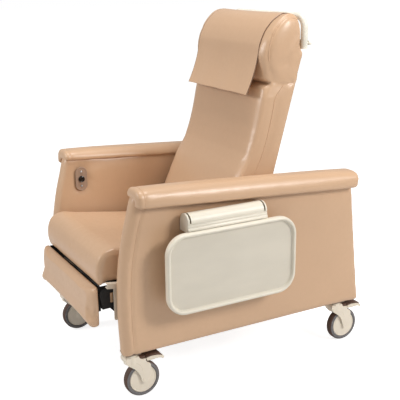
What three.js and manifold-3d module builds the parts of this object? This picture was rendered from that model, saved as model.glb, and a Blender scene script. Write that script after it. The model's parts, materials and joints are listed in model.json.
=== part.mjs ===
// Patient recliner chair on four braked casters, with two fold-down side trays.
//
// Frame: millimetres, +Z up, floor at z = 0, the patient faces -Y, the patient's left is +X.
// The origin is on the floor below the middle of the chair's width and length.
// Seat, back and leg rest share one side view, so most pieces are outlines in the (y, z)
// plane carried across the width; `slab` does that.

import * as THREE from 'three';
import { mergeVertices } from 'three/addons/utils/BufferGeometryUtils.js';
import Module from 'manifold-3d';

const wasm = await Module();
wasm.setup();

// ---------------------------------------------------------------- driving dimensions

const CHAIR_DEPTH = 1103;
const ARM_WIDTH_OVERALL = 760;
const CHAIR_HEIGHT = 1258;

const PANEL_INNER = 283;
const PANEL_OUTER = 347;
const PANEL_BOTTOM = 170;
const CUSHION_HALF_WIDTH = 262;
const FIT_GAP = 0.4;
const MERGE_DISTANCE = 1e-3;

const ARM_SLOPE = THREE.MathUtils.degToRad(3.24);
const ARM_FRONT_Y = -411;
const ARM_LENGTH = 882;
const ARM_FRONT_TOP = 740;
const ARM_INNER = 279;
const ARM_OUTER = ARM_WIDTH_OVERALL / 2;
const ARM_DEEP = 60;
const ARM_SHALLOW = 36;
const PAD_GAP = 1.5;

const SEAT_TILT = THREE.MathUtils.degToRad(7.8);
const SEAT_FRONT_TOP = { y: -439, z: 520 };
const SEAT_THICKNESS = 108;
const SEAT_REAR_Y = -66;
const SEAT_BOARD = 16;

const BACK_LEAN = THREE.MathUtils.degToRad(15.3);
const BACK_PIVOT = { y: 0, z: 440 };
const BACK_REAR_FOOT = { y: 102, z: 410 };
const BACK_COVER_THICKNESS = 22;
const BACK_BOARD = 14;
const BACK_COVER_HALF_WIDTH = CUSHION_HALF_WIDTH - 2;

const LEG_ARM_PIVOT = { y: -380, z: 362 };
const LEG_ELBOW = { y: -337, z: 194 };
const FOOTREST_PIVOT = { y: -468, z: 332 };
const LINK_HALF_WIDTH = 13;
const LINK_THICKNESS = 5;
const LINK_PIN_RADIUS = 6;

const SPRING_FOOT = { y: -284, z: 268 };
const SPRING_HEAD = { y: 60, z: 355 };

const TRAY_PIVOT_X = 379.5;
const TRAY_PIVOT_Z = 618;
const TRAY_COVER_RADIUS = 29.5;
const TRAY_BACK_X = 402;
const TRAY_FACE_X = 427;

const WHEEL_RADIUS = 63.5;
const WHEEL_SEGMENTS = 24;
const TYRE_WIDTH = 32;
const CASTER_TRAIL = 38;
const STEM_X = 305;
const STEM_FRONT_Y = -426;
const STEM_REAR_Y = 436;
const PEDAL_REACH = CHAIR_DEPTH / 2 - STEM_REAR_Y - CASTER_TRAIL;

// ---------------------------------------------------------------- materials

const finish = (color, roughness, metalness = 0) =>
  new THREE.MeshStandardMaterial({ color, roughness, metalness });

const vinyl = finish(0xcfa784, 0.42);
const creamPlastic = finish(0xe9e0c9, 0.4);
const blackSteel = finish(0x1c1c1e, 0.45, 0.6);
const beigeSteel = finish(0xc9bda6, 0.5, 0.3);
const brightSteel = finish(0xc4c6c8, 0.25, 1);
const greyRubber = finish(0x6d6763, 0.75);
const blackPlastic = finish(0x17171a, 0.35);
const taupePlastic = finish(0xa8937c, 0.5);
const plywood = finish(0xb58d5c, 0.8);

// ---------------------------------------------------------------- geometry helpers

const chair = new THREE.Group();

function place(name, geometry, material) {
  const mesh = new THREE.Mesh(geometry, material);
  mesh.name = name;
  chair.add(mesh);
  return mesh;
}

/** Outline in (y, z), carried along X from x0 to x1, with optional rounded rims. */
function slab(points, x0, x1, rounding = 0) {
  const shape = new THREE.Shape(points.map(([y, z]) => new THREE.Vector2(y, z)));
  const geometry = new THREE.ExtrudeGeometry(shape, {
    depth: Math.abs(x1 - x0) - 2 * rounding,
    bevelEnabled: rounding > 0,
    bevelThickness: rounding,
    bevelSize: rounding,
    bevelOffset: -rounding,
    bevelSegments: 1,
  });
  geometry.translate(0, 0, Math.min(x0, x1) + rounding);
  const toSideView = new THREE.Matrix4().makeBasis(
    new THREE.Vector3(0, 1, 0), new THREE.Vector3(0, 0, 1), new THREE.Vector3(1, 0, 0));
  return geometry.applyMatrix4(toSideView);
}

/** A slab whose x range is mirrored to the left (+1) or right (-1) of the chair. */
const sideSlab = (points, side, x0, x1, rounding) =>
  slab(points, side * x0, side * x1, rounding);

function box(x0, x1, y0, y1, z0, z1) {
  const geometry = new THREE.BoxGeometry(x1 - x0, y1 - y0, z1 - z0);
  return geometry.translate((x0 + x1) / 2, (y0 + y1) / 2, (z0 + z1) / 2);
}

/** Round bar between two points. */
function bar(from, to, radius, segments = 12) {
  const start = new THREE.Vector3(...from);
  const along = new THREE.Vector3(...to).sub(start);
  const geometry = new THREE.CylinderGeometry(radius, radius, along.length(), segments);
  const turn = new THREE.Quaternion().setFromUnitVectors(
    new THREE.Vector3(0, 1, 0), along.clone().normalize());
  geometry.applyQuaternion(turn);
  return geometry.translate(...start.addScaledVector(along, 0.5).toArray());
}

const barAcross = (at, x0, x1, radius, segments) =>
  bar([x0, at.y, at.z], [x1, at.y, at.z], radius, segments);

function arc(cy, cz, radius, fromDeg, toDeg, steps) {
  return Array.from({ length: steps + 1 }, (_, i) => {
    const a = THREE.MathUtils.degToRad(fromDeg + (toDeg - fromDeg) * i / steps);
    return [cy + radius * Math.cos(a), cz + radius * Math.sin(a)];
  });
}

function smooth(points, steps) {
  const curve = new THREE.SplineCurve(points.map(([y, z]) => new THREE.Vector2(y, z)));
  return curve.getPoints(steps).map((p) => [p.x, p.y]);
}

/** Flat link outline: a straight bar with round ends centred on two pivots. */
function linkOutline(a, b, halfWidth) {
  const angle = THREE.MathUtils.radToDeg(Math.atan2(b.z - a.z, b.y - a.y));
  return [
    ...arc(b.y, b.z, halfWidth, angle - 90, angle + 90, 6),
    ...arc(a.y, a.z, halfWidth, angle + 90, angle + 270, 6),
  ];
}

function roundedRectangle(y0, y1, z0, z1, radius, steps) {
  return [
    ...arc(y1 - radius, z1 - radius, radius, 0, 90, steps),
    ...arc(y0 + radius, z1 - radius, radius, 90, 180, steps),
    ...arc(y0 + radius, z0 + radius, radius, 180, 270, steps),
    ...arc(y1 - radius, z0 + radius, radius, 270, 360, steps),
  ];
}

function solid(geometry) {
  const bare = geometry.clone();
  bare.deleteAttribute('normal');
  bare.deleteAttribute('uv');
  const merged = mergeVertices(bare, MERGE_DISTANCE);
  return new wasm.Manifold(new wasm.Mesh({
    numProp: 3,
    vertProperties: new Float32Array(merged.attributes.position.array),
    triVerts: new Uint32Array(merged.index.array),
  }));
}

function fromSolid(manifold) {
  const mesh = manifold.getMesh();
  const geometry = new THREE.BufferGeometry();
  const positions = new Float32Array(mesh.vertProperties);
  geometry.setAttribute('position', new THREE.BufferAttribute(positions, 3));
  geometry.setIndex(new THREE.BufferAttribute(new Uint32Array(mesh.triVerts), 1));
  geometry.computeVertexNormals();
  return geometry;
}

/** Joins the first list of geometries and cuts the second list away. */
function carve(added, removed = []) {
  let body = added.map(solid).reduce((a, b) => a.add(b));
  for (const tool of removed) {
    body = body.subtract(solid(tool));
  }
  return fromSolid(body);
}

const sides = [['left', 1], ['right', -1]];

const armTop = (y) => ARM_FRONT_TOP - Math.tan(ARM_SLOPE) * (y - ARM_FRONT_Y);
const seatTop = (y) => SEAT_FRONT_TOP.z - Math.tan(SEAT_TILT) * (y - SEAT_FRONT_TOP.y);
const seatUnder = (y) => seatTop(y) - SEAT_THICKNESS;
const backRear = (z) => BACK_REAR_FOOT.y + Math.tan(BACK_LEAN) * (z - BACK_REAR_FOOT.z);

// ---------------------------------------------------------------- sides and arms

const RELEASE = { y: -352, z: 627 };
const BUTTON_RADIUS = 11.5;
const BUTTON_POCKET_DEPTH = 20;
const BUTTON_POCKET_GAP = 0.8;
const PANEL_ROUNDING = 7;

function panelOutline() {
  const top = (y) => armTop(y) - ARM_SHALLOW - PAD_GAP;
  const frontTop = [-408, top(-408)];
  const rearTop = [463, top(463)];
  const front = smooth([frontTop, [-442, 585], [-465, 452], [-469, 300], [-462, PANEL_BOTTOM]], 12);
  return [...front, [520, PANEL_BOTTOM], rearTop];
}

for (const [name, side] of sides) {
  const upholstered = sideSlab(panelOutline(), side, PANEL_INNER, PANEL_OUTER, PANEL_ROUNDING);
  if (side < 0) {
    const pocket = barAcross(RELEASE, -PANEL_INNER - BUTTON_POCKET_DEPTH, -PANEL_INNER + 1,
      BUTTON_RADIUS + BUTTON_POCKET_GAP, 20);
    place(`side_panel_${name}`, carve([upholstered], [pocket]), vinyl);
  } else {
    place(`side_panel_${name}`, upholstered, vinyl);
  }
}

/** Arm pad section in (x, z below the top): a deep outer side that laps over the panel. */
function armSection() {
  const outerRound = 30;
  const innerRound = 28;
  const lipRound = 12;
  const lapInner = PANEL_OUTER + 2;
  return [
    ...arc(ARM_INNER + innerRound, -innerRound, innerRound, 180, 90, 5),
    ...arc(ARM_OUTER - outerRound, -outerRound, outerRound, 90, 0, 5),
    ...arc(ARM_OUTER - lipRound, -ARM_DEEP + lipRound, lipRound, 0, -90, 3),
    [lapInner, -ARM_DEEP],
    [lapInner, -ARM_SHALLOW],
    [ARM_INNER + 5, -ARM_SHALLOW],
  ];
}

for (const [name, side] of sides) {
  const points = armSection().map(([x, z]) => new THREE.Vector2(side * x, z));
  const shape = new THREE.Shape(points);
  const pad = new THREE.ExtrudeGeometry(shape, { depth: ARM_LENGTH, bevelEnabled: false });
  pad.rotateX(Math.PI / 2 - ARM_SLOPE);
  const rearY = ARM_FRONT_Y + ARM_LENGTH * Math.cos(ARM_SLOPE);
  pad.translate(0, rearY, ARM_FRONT_TOP - ARM_LENGTH * Math.sin(ARM_SLOPE));
  place(`arm_pad_${name}`, pad, vinyl);
}

// ---------------------------------------------------------------- fixed steel frame

const CROSS_TUBE = 30;
const BASE_FRAME_Z = 240;
const BASE_FRAME_REAR_Y = 400;
const SIDE_BAR = 4;
const SPRING_EAR_X = 12;
const SPRING_EAR = 4;

function crossTube(y, z) {
  const reach = PANEL_INNER - FIT_GAP;
  const half = CROSS_TUBE / 2;
  return box(-reach, reach, y - half, y + half, z - half, z + half);
}

function baseFrame() {
  const z = BASE_FRAME_Z;
  const front = SPRING_FOOT.y - 6;
  const rear = BASE_FRAME_REAR_Y;
  const half = CROSS_TUBE / 2;
  const overhang = 20;
  const outer = PANEL_INNER - FIT_GAP;
  const bars = sides.map(([, side]) => sideSlab(
    roundedRectangle(front - overhang, rear + overhang, z - half, z + half, 4, 1),
    side, outer - SIDE_BAR, outer));
  const ears = sides.map(([, side]) => sideSlab(
    linkOutline({ y: SPRING_FOOT.y, z: SPRING_FOOT.z - 20 }, SPRING_FOOT, LINK_HALF_WIDTH),
    side, SPRING_EAR_X, SPRING_EAR_X + SPRING_EAR));
  const pin = barAcross(SPRING_FOOT, -SPRING_EAR_X - 2, SPRING_EAR_X + 2, LINK_PIN_RADIUS);
  return carve([crossTube(front, z), crossTube(rear, z), ...bars, ...ears, pin]);
}

place('base_frame', baseFrame(), blackSteel);

const RAIL = { front: -490, rear: 20, drop: 1, depth: 18, web: 4, flange: 3, inner: CUSHION_HALF_WIDTH + 3 };
const RAIL_HANGER = { y: -462, halfWidth: 6, low: 284, high: 400, thickness: 3 };

/** Side view of a strip that follows the seat's underside between two depths below it. */
const underSeatStrip = (front, rear, nearest, deepest) => [
  [front, seatUnder(front) - nearest], [front, seatUnder(front) - deepest],
  [rear, seatUnder(rear) - deepest], [rear, seatUnder(rear) - nearest],
];

/** Channel that the seat's runner slides in, with a hanger plate at its front end. */
function seatRail(side) {
  const { front, rear, drop, depth, web, flange, inner } = RAIL;
  const { y, halfWidth, low, high, thickness } = RAIL_HANGER;
  const outer = PANEL_INNER - FIT_GAP;
  const channel = sideSlab(underSeatStrip(front, rear, drop, drop + depth), side, inner, outer);
  const hollow = sideSlab(
    underSeatStrip(front - 1, rear + 1, drop + flange, drop + depth - flange),
    side, inner - 1, outer - web);
  const hanger = sideSlab(
    [...arc(y, low + halfWidth, halfWidth, 180, 360, 6), [y + halfWidth, high], [y - halfWidth, high]],
    side, outer - thickness, outer);
  return carve([channel, hanger], [hollow]);
}

for (const [name, side] of sides) {
  place(`seat_rail_${name}`, seatRail(side), beigeSteel);
}

// ---------------------------------------------------------------- recline release

const PLATE_THICKNESS = 2;
const PLATE_HALF_WIDTH = 23.5;
const PLATE_FACE_X = -PANEL_INNER + FIT_GAP + PLATE_THICKNESS;
const BUTTON_DEPTH = 10;
const BUTTON_HEIGHT = 7;
const SCREW_OFFSET = 28;

place('release_plate', carve(
  [slab([...arc(RELEASE.y, RELEASE.z + PLATE_HALF_WIDTH, PLATE_HALF_WIDTH, 0, 180, 10),
    ...arc(RELEASE.y, RELEASE.z - PLATE_HALF_WIDTH, PLATE_HALF_WIDTH, 180, 360, 10)],
  -PANEL_INNER + FIT_GAP, PLATE_FACE_X)],
  [barAcross(RELEASE, -PANEL_INNER - 2, PLATE_FACE_X + 2, BUTTON_RADIUS + 0.5, 20)]), taupePlastic);

place('release_button', barAcross(
  RELEASE, -PANEL_INNER - BUTTON_DEPTH, PLATE_FACE_X + BUTTON_HEIGHT, BUTTON_RADIUS, 20), blackPlastic);

for (const [name, dz] of [['upper', SCREW_OFFSET], ['lower', -SCREW_OFFSET]]) {
  const profile = [[0, 0], [4.2, 0], [4.2, 0.8], [2.6, 2.2], [0, 2.4]];
  const screw = new THREE.LatheGeometry(profile.map(([r, h]) => new THREE.Vector2(r, h)), 12);
  screw.rotateZ(-Math.PI / 2);
  screw.translate(PLATE_FACE_X + FIT_GAP, RELEASE.y, RELEASE.z + dz);
  place(`release_screw_${name}`, screw, brightSteel);
}

// ---------------------------------------------------------------- gas spring

const SPRING_BODY_RADIUS = 11;
const SPRING_ROD_RADIUS = 4.5;
const SPRING_LENGTH = Math.hypot(SPRING_HEAD.y - SPRING_FOOT.y, SPRING_HEAD.z - SPRING_FOOT.z);
const SPRING_BODY_LENGTH = 182;
const SPRING_ROD_INSERT = 15;

const alongSpring = (distance) => [0,
  SPRING_FOOT.y + (SPRING_HEAD.y - SPRING_FOOT.y) * distance / SPRING_LENGTH,
  SPRING_FOOT.z + (SPRING_HEAD.z - SPRING_FOOT.z) * distance / SPRING_LENGTH];

const EYE_HALF_WIDTH = 8;
const EYE_RADIUS = 12;
const ROD_EYE_RADIUS = 11;
const PIN_CLEARANCE = 0.4;

place('gas_spring_cylinder', carve(
  [barAcross(SPRING_FOOT, -EYE_HALF_WIDTH, EYE_HALF_WIDTH, EYE_RADIUS, 16),
    bar(alongSpring(8), alongSpring(SPRING_BODY_LENGTH), SPRING_BODY_RADIUS, 16)],
  [barAcross(SPRING_FOOT, -EYE_HALF_WIDTH - 1, EYE_HALF_WIDTH + 1, LINK_PIN_RADIUS + PIN_CLEARANCE, 16),
    bar(alongSpring(22), alongSpring(SPRING_BODY_LENGTH + 5), SPRING_ROD_RADIUS + 0.5, 12)]), blackSteel);

place('gas_spring_rod', carve(
  [bar(alongSpring(SPRING_BODY_LENGTH - SPRING_ROD_INSERT), alongSpring(SPRING_LENGTH - 6),
    SPRING_ROD_RADIUS, 12),
  barAcross(SPRING_HEAD, -EYE_HALF_WIDTH, EYE_HALF_WIDTH, ROD_EYE_RADIUS, 16)],
  [barAcross(SPRING_HEAD, -EYE_HALF_WIDTH - 1, EYE_HALF_WIDTH + 1, 5, 12)]), brightSteel);

// ---------------------------------------------------------------- seat

function seatCushionOutline() {
  const front = smooth([[-450, 523], [-482, 518], [-504, 499], [-514, 468], [-514, 432], [-503, 397]], 10);
  return [
    [SEAT_REAR_Y, seatTop(SEAT_REAR_Y)], ...front,
    [-478, seatUnder(-478)], [SEAT_REAR_Y, seatUnder(SEAT_REAR_Y)],
  ];
}

place('seat_cushion', slab(seatCushionOutline(), -CUSHION_HALF_WIDTH, CUSHION_HALF_WIDTH, 12), vinyl);

const RUNNER = { front: -445, rear: -75, inner: 246, outer: 276, halfDepth: 5 };
const HINGE_EAR_RADIUS = 17;
const SEAT_BOARD_HALF_WIDTH = 250;
const SEAT_LINK_PLANE = 219;

/** Seat board with a runner each side, and ears for the leg rest and the back. */
function seatFrame() {
  const boardFront = -470;
  const boardRear = -70;
  const boardTop = 1;
  const under = (y) => seatUnder(y) - boardTop;
  const middle = RAIL.drop + RAIL.depth / 2;
  const parts = [slab(
    underSeatStrip(boardFront, boardRear, boardTop, boardTop + SEAT_BOARD),
    -SEAT_BOARD_HALF_WIDTH, SEAT_BOARD_HALF_WIDTH)];
  for (const [, side] of sides) {
    parts.push(sideSlab(
      underSeatStrip(RUNNER.front, RUNNER.rear, middle - RUNNER.halfDepth, middle + RUNNER.halfDepth),
      side, RUNNER.inner, RUNNER.outer));
    parts.push(sideSlab(
      [...arc(LEG_ARM_PIVOT.y, LEG_ARM_PIVOT.z, 16, 180, 360, 6),
        [LEG_ARM_PIVOT.y + 26, under(-354) - 4], [LEG_ARM_PIVOT.y - 26, under(-406) - 4]],
      side, SEAT_LINK_PLANE, SEAT_LINK_PLANE + LINK_THICKNESS));
    parts.push(barAcross(LEG_ARM_PIVOT, side * (SEAT_LINK_PLANE - 10), side * (SEAT_LINK_PLANE + 2),
      LINK_PIN_RADIUS));
    parts.push(sideSlab(
      [...arc(BACK_PIVOT.y, BACK_PIVOT.z, HINGE_EAR_RADIUS, -30, 180, 5), [SEAT_REAR_Y + 3, under(-63)],
        [-85, under(-85) - 2], [-85, under(-85) - 20], [-42, under(-42) - 20]],
      side, RUNNER.inner, RUNNER.inner + 6));
    parts.push(barAcross(BACK_PIVOT, side * (RUNNER.inner - 8), side * (RUNNER.inner + 2),
      LINK_PIN_RADIUS + 1));
  }
  return carve(parts);
}

place('seat_frame', seatFrame(), blackSteel);

// ---------------------------------------------------------------- back

const HEADREST_FOOT_Z = 1016;
const BACK_CUSHION_FOOT = 461;
const cushionRear = (z) => backRear(z) - BACK_COVER_THICKNESS - BACK_BOARD - 3;

function backCushionOutline() {
  const front = smooth([[-60, 480], [-20, 571], [42, 700], [83, 769], [112, 862], [130, 948],
    [146, HEADREST_FOOT_Z - 2]], 12);
  return [...front.reverse(), [-48, 466],
    [cushionRear(BACK_CUSHION_FOOT) - 10, BACK_CUSHION_FOOT],
    [cushionRear(HEADREST_FOOT_Z), HEADREST_FOOT_Z - 2]];
}

place('back_cushion', slab(backCushionOutline(), -CUSHION_HALF_WIDTH, CUSHION_HALF_WIDTH, 12), vinyl);

/** Front of the pillow from its foot, over the top, to the rear shoulder. */
const headrestFront = smooth([[152, HEADREST_FOOT_Z], [137, 1084], [143, 1135], [170, 1195],
  [212, 1240], [250, CHAIR_HEIGHT - 5], [276, 1238]], 12);

place('headrest_cushion', slab(
  [...headrestFront, [285, 1200], [282, 1140], [cushionRear(1115), 1138],
    [cushionRear(HEADREST_FOOT_Z), HEADREST_FOOT_Z]],
  -CUSHION_HALF_WIDTH, CUSHION_HALF_WIDTH, 12), vinyl);

const BACK_TOP_Z = 1120;

function leaningSheet(z0, z1, behind, thickness) {
  return [[backRear(z0) - behind - thickness, z0], [backRear(z0) - behind, z0],
    [backRear(z1) - behind, z1], [backRear(z1) - behind - thickness, z1]];
}

place('back_cover', slab(
  leaningSheet(BACK_REAR_FOOT.z, BACK_TOP_Z, 0, BACK_COVER_THICKNESS),
  -BACK_COVER_HALF_WIDTH, BACK_COVER_HALF_WIDTH, 6), vinyl);

const PUSH_BAR_RADIUS = 12.5;
const PUSH_BAR = { x: 235, y: 309, foot: BACK_TOP_Z + 8, top: CHAIR_HEIGHT - 18 };
const PUSH_BAR_EAR_X = PUSH_BAR.x - PUSH_BAR_RADIUS - FIT_GAP;

/** Ear that reaches over the back's top edge to carry one leg of the push bar. */
function pushBarEar() {
  const over = BACK_TOP_Z + 2;
  return [[258, BACK_TOP_Z - 22], [266, BACK_TOP_Z - 22], [268, over], [300, over],
    [PUSH_BAR.y + 12, over + 12], [PUSH_BAR.y + 12, over + 38], [PUSH_BAR.y - 8, over + 38],
    [286, over + 13], [258, over + 13]];
}

const BACK_HINGE_PLANE = 236;
const BACK_BOARD_HALF_WIDTH = 240;

/** Plywood back board with a hinge plate each side and a lever for the gas spring. */
function backFrame() {
  const board = leaningSheet(415, BACK_TOP_Z - 6, BACK_COVER_THICKNESS + 1, BACK_BOARD);
  const foot = { y: backRear(430) - BACK_COVER_THICKNESS - 8, low: 418, high: 446 };
  const leverPlane = SPRING_EAR_X + 1;
  const parts = [slab(board, -BACK_BOARD_HALF_WIDTH, BACK_BOARD_HALF_WIDTH)];
  for (const [, side] of sides) {
    parts.push(sideSlab(
      [...arc(BACK_PIVOT.y, BACK_PIVOT.z, HINGE_EAR_RADIUS, 90, 270, 5),
        [foot.y, foot.low], [foot.y + 4, foot.high]],
      side, BACK_HINGE_PLANE, BACK_HINGE_PLANE + LINK_THICKNESS));
    parts.push(sideSlab(
      [...arc(SPRING_HEAD.y, SPRING_HEAD.z, EYE_RADIUS, 170, 350, 5),
        [foot.y, foot.low + 2], [foot.y + 4, foot.high], [foot.y - 26, foot.high]],
      side, leverPlane, leverPlane + SPRING_EAR));
    parts.push(sideSlab(pushBarEar(), side, PUSH_BAR_EAR_X - 6, PUSH_BAR_EAR_X));
  }
  const holes = sides.map(([, side]) => barAcross(
    BACK_PIVOT, side * (BACK_HINGE_PLANE - 6), side * (BACK_HINGE_PLANE + 8.5), LINK_PIN_RADIUS + 1.5));
  return carve(parts, holes);
}

place('back_frame', backFrame(), plywood);

const HEAD_COVER_HALF_WIDTH = 210;

/** Loose vinyl sheet over the pillow's front, hanging free below it. */
function headCover() {
  const sheet = 3;
  const hang = [[84, 979], [98, 1026], [113, 1078], [119, 1110]];
  const over = headrestFront.filter(([y, z]) => z > 1100 && y < 262);
  const outwards = (points, gap) => points.map(([y, z], i) => {
    const [y0, z0] = points[Math.max(0, i - 1)];
    const [y1, z1] = points[Math.min(points.length - 1, i + 1)];
    const length = Math.hypot(y1 - y0, z1 - z0);
    return [y - gap * (z1 - z0) / length, z + gap * (y1 - y0) / length];
  });
  const line = [...hang, ...outwards(over, 14).slice(0, 2), ...outwards(over, 2).slice(3)];
  const outer = outwards(line, sheet);
  return slab([...outer, ...line.toReversed()], -HEAD_COVER_HALF_WIDTH, HEAD_COVER_HALF_WIDTH);
}

place('head_cover', headCover(), vinyl);

/** U-shaped push bar: two legs and a crossing, with rounded corners. */
function pushBarPath() {
  const { x, y, foot, top } = PUSH_BAR;
  const bend = 38;
  const at = (px, pz) => new THREE.Vector3(px, y, pz);
  const path = new THREE.CurvePath();
  path.add(new THREE.LineCurve3(at(-x, foot), at(-x, top - bend)));
  path.add(new THREE.QuadraticBezierCurve3(at(-x, top - bend), at(-x, top), at(bend - x, top)));
  path.add(new THREE.LineCurve3(at(bend - x, top), at(x - bend, top)));
  path.add(new THREE.QuadraticBezierCurve3(at(x - bend, top), at(x, top), at(x, top - bend)));
  path.add(new THREE.LineCurve3(at(x, top - bend), at(x, foot)));
  return path;
}

function tube(path, radius, steps, segments) {
  const circle = new THREE.Shape(arc(0, 0, radius, 0, 360 - 360 / segments, segments - 1)
    .map(([x, y]) => new THREE.Vector2(x, y)));
  return new THREE.ExtrudeGeometry(circle, { steps, extrudePath: path, bevelEnabled: false });
}

place('push_bar', tube(pushBarPath(), PUSH_BAR_RADIUS, 20, 10), creamPlastic);

// ---------------------------------------------------------------- leg rest

const ARM_PLANE = 212;
const STRUT_PLANE = SEAT_LINK_PLANE;
const PAD_EAR_PLANE = 238;

for (const [name, side] of sides) {
  const link = (a, b, plane) =>
    sideSlab(linkOutline(a, b, LINK_HALF_WIDTH), side, plane, plane + LINK_THICKNESS);
  const pinHole = (at, plane) =>
    barAcross(at, side * (plane - 4), side * (plane + LINK_THICKNESS + 4), LINK_PIN_RADIUS + PIN_CLEARANCE);
  const elbowPin = barAcross(LEG_ELBOW, side * (ARM_PLANE + 2), side * (STRUT_PLANE + 6), LINK_PIN_RADIUS);
  place(`legrest_arm_${name}`, carve(
    [link(LEG_ARM_PIVOT, LEG_ELBOW, ARM_PLANE), elbowPin],
    [pinHole(LEG_ARM_PIVOT, ARM_PLANE)]), blackSteel);
  place(`legrest_strut_${name}`, carve(
    [link(LEG_ELBOW, FOOTREST_PIVOT, STRUT_PLANE)],
    [pinHole(LEG_ELBOW, STRUT_PLANE), pinHole(FOOTREST_PIVOT, STRUT_PLANE)]), blackSteel);
}

place('legrest_cross_tube',
  barAcross(LEG_ELBOW, -ARM_PLANE + FIT_GAP, ARM_PLANE - FIT_GAP, 9), blackSteel);

const PAD_BACK_Y = -508;
const PAD_BOARD = { halfWidth: 235, thickness: 10, low: 306, high: 384 };

/** Board behind the foot pad, with two ears on the struts' pivots. */
function footrestBoard() {
  const { halfWidth, thickness, low, high } = PAD_BOARD;
  const backing = PAD_BACK_Y + 1;
  const earRear = FOOTREST_PIVOT.y + 12;
  const ear = [[backing, 318], [earRear - 24, 322], [earRear - 2, 315], [earRear, 368],
    [earRear - 15, 394], [backing, 394]];
  const parts = [box(-halfWidth, halfWidth, backing, backing + thickness, low, high)];
  for (const [, side] of sides) {
    parts.push(sideSlab(ear, side, halfWidth - 1, PAD_EAR_PLANE + LINK_THICKNESS));
    parts.push(barAcross(
      FOOTREST_PIVOT, side * (STRUT_PLANE - 1), side * (PAD_EAR_PLANE + 2), LINK_PIN_RADIUS));
  }
  return carve(parts);
}

place('footrest_board', footrestBoard(), blackSteel);

function footrestPadOutline() {
  const front = -CHAIR_DEPTH / 2;
  return [[PAD_BACK_Y, 397], [-526, 397], [-534, 384], [-537, 358], [-540, 320], [front + 5, 292],
    [front, 278], [front + 4, 263], [front + 18, 256], [PAD_BACK_Y, 261]];
}

place('footrest_pad', slab(footrestPadOutline(), -255, 255, 8), vinyl);

// ---------------------------------------------------------------- side trays

const TRAY = { y0: -340, y1: 160, z0: 314, z1: 592, corner: 70 };
const COVER_Y0 = -256;
const COVER_Y1 = 48;
const BRACKET_INSET = 10;
const SLOT_WIDTH = 5;
const BRACKET_ARM = 3;
const TRAY_ROD_RADIUS = 5;

/** Outline in (x, z) carried along Y between y0 and y1, for the left side. */
function lengthwise(points, y0, y1) {
  const shape = new THREE.Shape(points.map(([x, z]) => new THREE.Vector2(x, z)));
  const geometry = new THREE.ExtrudeGeometry(shape, { depth: y1 - y0, bevelEnabled: false });
  return geometry.rotateX(Math.PI / 2).translate(0, y1, 0);
}

function slotTool(y) {
  const ring = [
    ...arc(TRAY_PIVOT_X, TRAY_PIVOT_Z, 60, 200, 35, 4),
    ...arc(TRAY_PIVOT_X, TRAY_PIVOT_Z, 9, 35, 200, 3),
  ];
  return lengthwise(ring, y - SLOT_WIDTH / 2, y + SLOT_WIDTH / 2);
}

const bracketPlaces = [COVER_Y0 + BRACKET_INSET, COVER_Y1 - BRACKET_INSET];

const rodBore = (y0, y1) => bar(
  [TRAY_PIVOT_X, y0, TRAY_PIVOT_Z], [TRAY_PIVOT_X, y1, TRAY_PIVOT_Z], TRAY_ROD_RADIUS + 0.3);

/** Hinge cover: rounded over the rod, open at the bottom, with a tongue behind the tray. */
function hingeCover() {
  const r = TRAY_COVER_RADIUS;
  const wall = 3;
  const foot = TRAY.z1 + 2;
  const tongueBack = TRAY_BACK_X - 4;
  const tongueLow = 505;
  const rearFoot = TRAY_PIVOT_Z - 33;
  const shell = [
    ...arc(TRAY_PIVOT_X, TRAY_PIVOT_Z, r, 180, 0, 10),
    [TRAY_PIVOT_X + r, foot + 14], [TRAY_PIVOT_X + r + 5, foot],
    [TRAY_BACK_X - FIT_GAP, foot], [TRAY_BACK_X - FIT_GAP, tongueLow],
    [tongueBack, tongueLow], [tongueBack, rearFoot], [TRAY_PIVOT_X - r, rearFoot],
  ];
  const hollow = [
    ...arc(TRAY_PIVOT_X, TRAY_PIVOT_Z, r - wall, 180, 0, 8),
    [TRAY_PIVOT_X + r - wall, foot + 6], [tongueBack - 2, foot + 6],
    [tongueBack - 2, rearFoot - 5], [TRAY_PIVOT_X - r + wall, rearFoot - 5],
  ];
  const web = 4;
  const bay = BRACKET_INSET + SLOT_WIDTH;
  return carve([lengthwise(shell, COVER_Y0, COVER_Y1)], [
    lengthwise(hollow, COVER_Y0 + wall, COVER_Y0 + bay),
    lengthwise(hollow, COVER_Y0 + bay + web, COVER_Y1 - bay - web),
    lengthwise(hollow, COVER_Y1 - bay, COVER_Y1 - wall),
    ...bracketPlaces.map(slotTool), rodBore(COVER_Y0 + 1, COVER_Y1 - 1),
  ]);
}

/** Wall bracket: a plate on the panel with two arms that carry the rod. */
function hingeBracket() {
  const wall = PANEL_OUTER + FIT_GAP;
  const armHalf = BRACKET_ARM / 2;
  const plateHalf = 12;
  const eye = 8;
  const [y0, y1] = bracketPlaces;
  const plate = box(
    wall, wall + 2, y0 - armHalf, y1 + armHalf, TRAY_PIVOT_Z - plateHalf, TRAY_PIVOT_Z + plateHalf);
  const armOutline = [[wall + 1, TRAY_PIVOT_Z - eye],
    ...arc(TRAY_PIVOT_X, TRAY_PIVOT_Z, eye, -90, 90, 5), [wall + 1, TRAY_PIVOT_Z + eye]];
  const arms = bracketPlaces.map((y) => lengthwise(armOutline, y - armHalf, y + armHalf));
  return carve([plate, ...arms], [rodBore(COVER_Y0, COVER_Y1)]);
}

/** Dished tray top with a raised rim; its face looks outwards when the tray hangs. */
function trayTop() {
  const rim = 15;
  const floorThickness = 13;
  const { y0, y1, z0, z1, corner } = TRAY;
  const outline = roundedRectangle(y0, y1, z0, z1, corner, 5);
  const dish = roundedRectangle(y0 + rim, y1 - rim, z0 + rim, z1 - rim, corner - rim, 5);
  return carve(
    [slab(outline, TRAY_BACK_X, TRAY_FACE_X, 4)],
    [slab(dish, TRAY_BACK_X + floorThickness, TRAY_FACE_X + 5)]);
}

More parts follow.
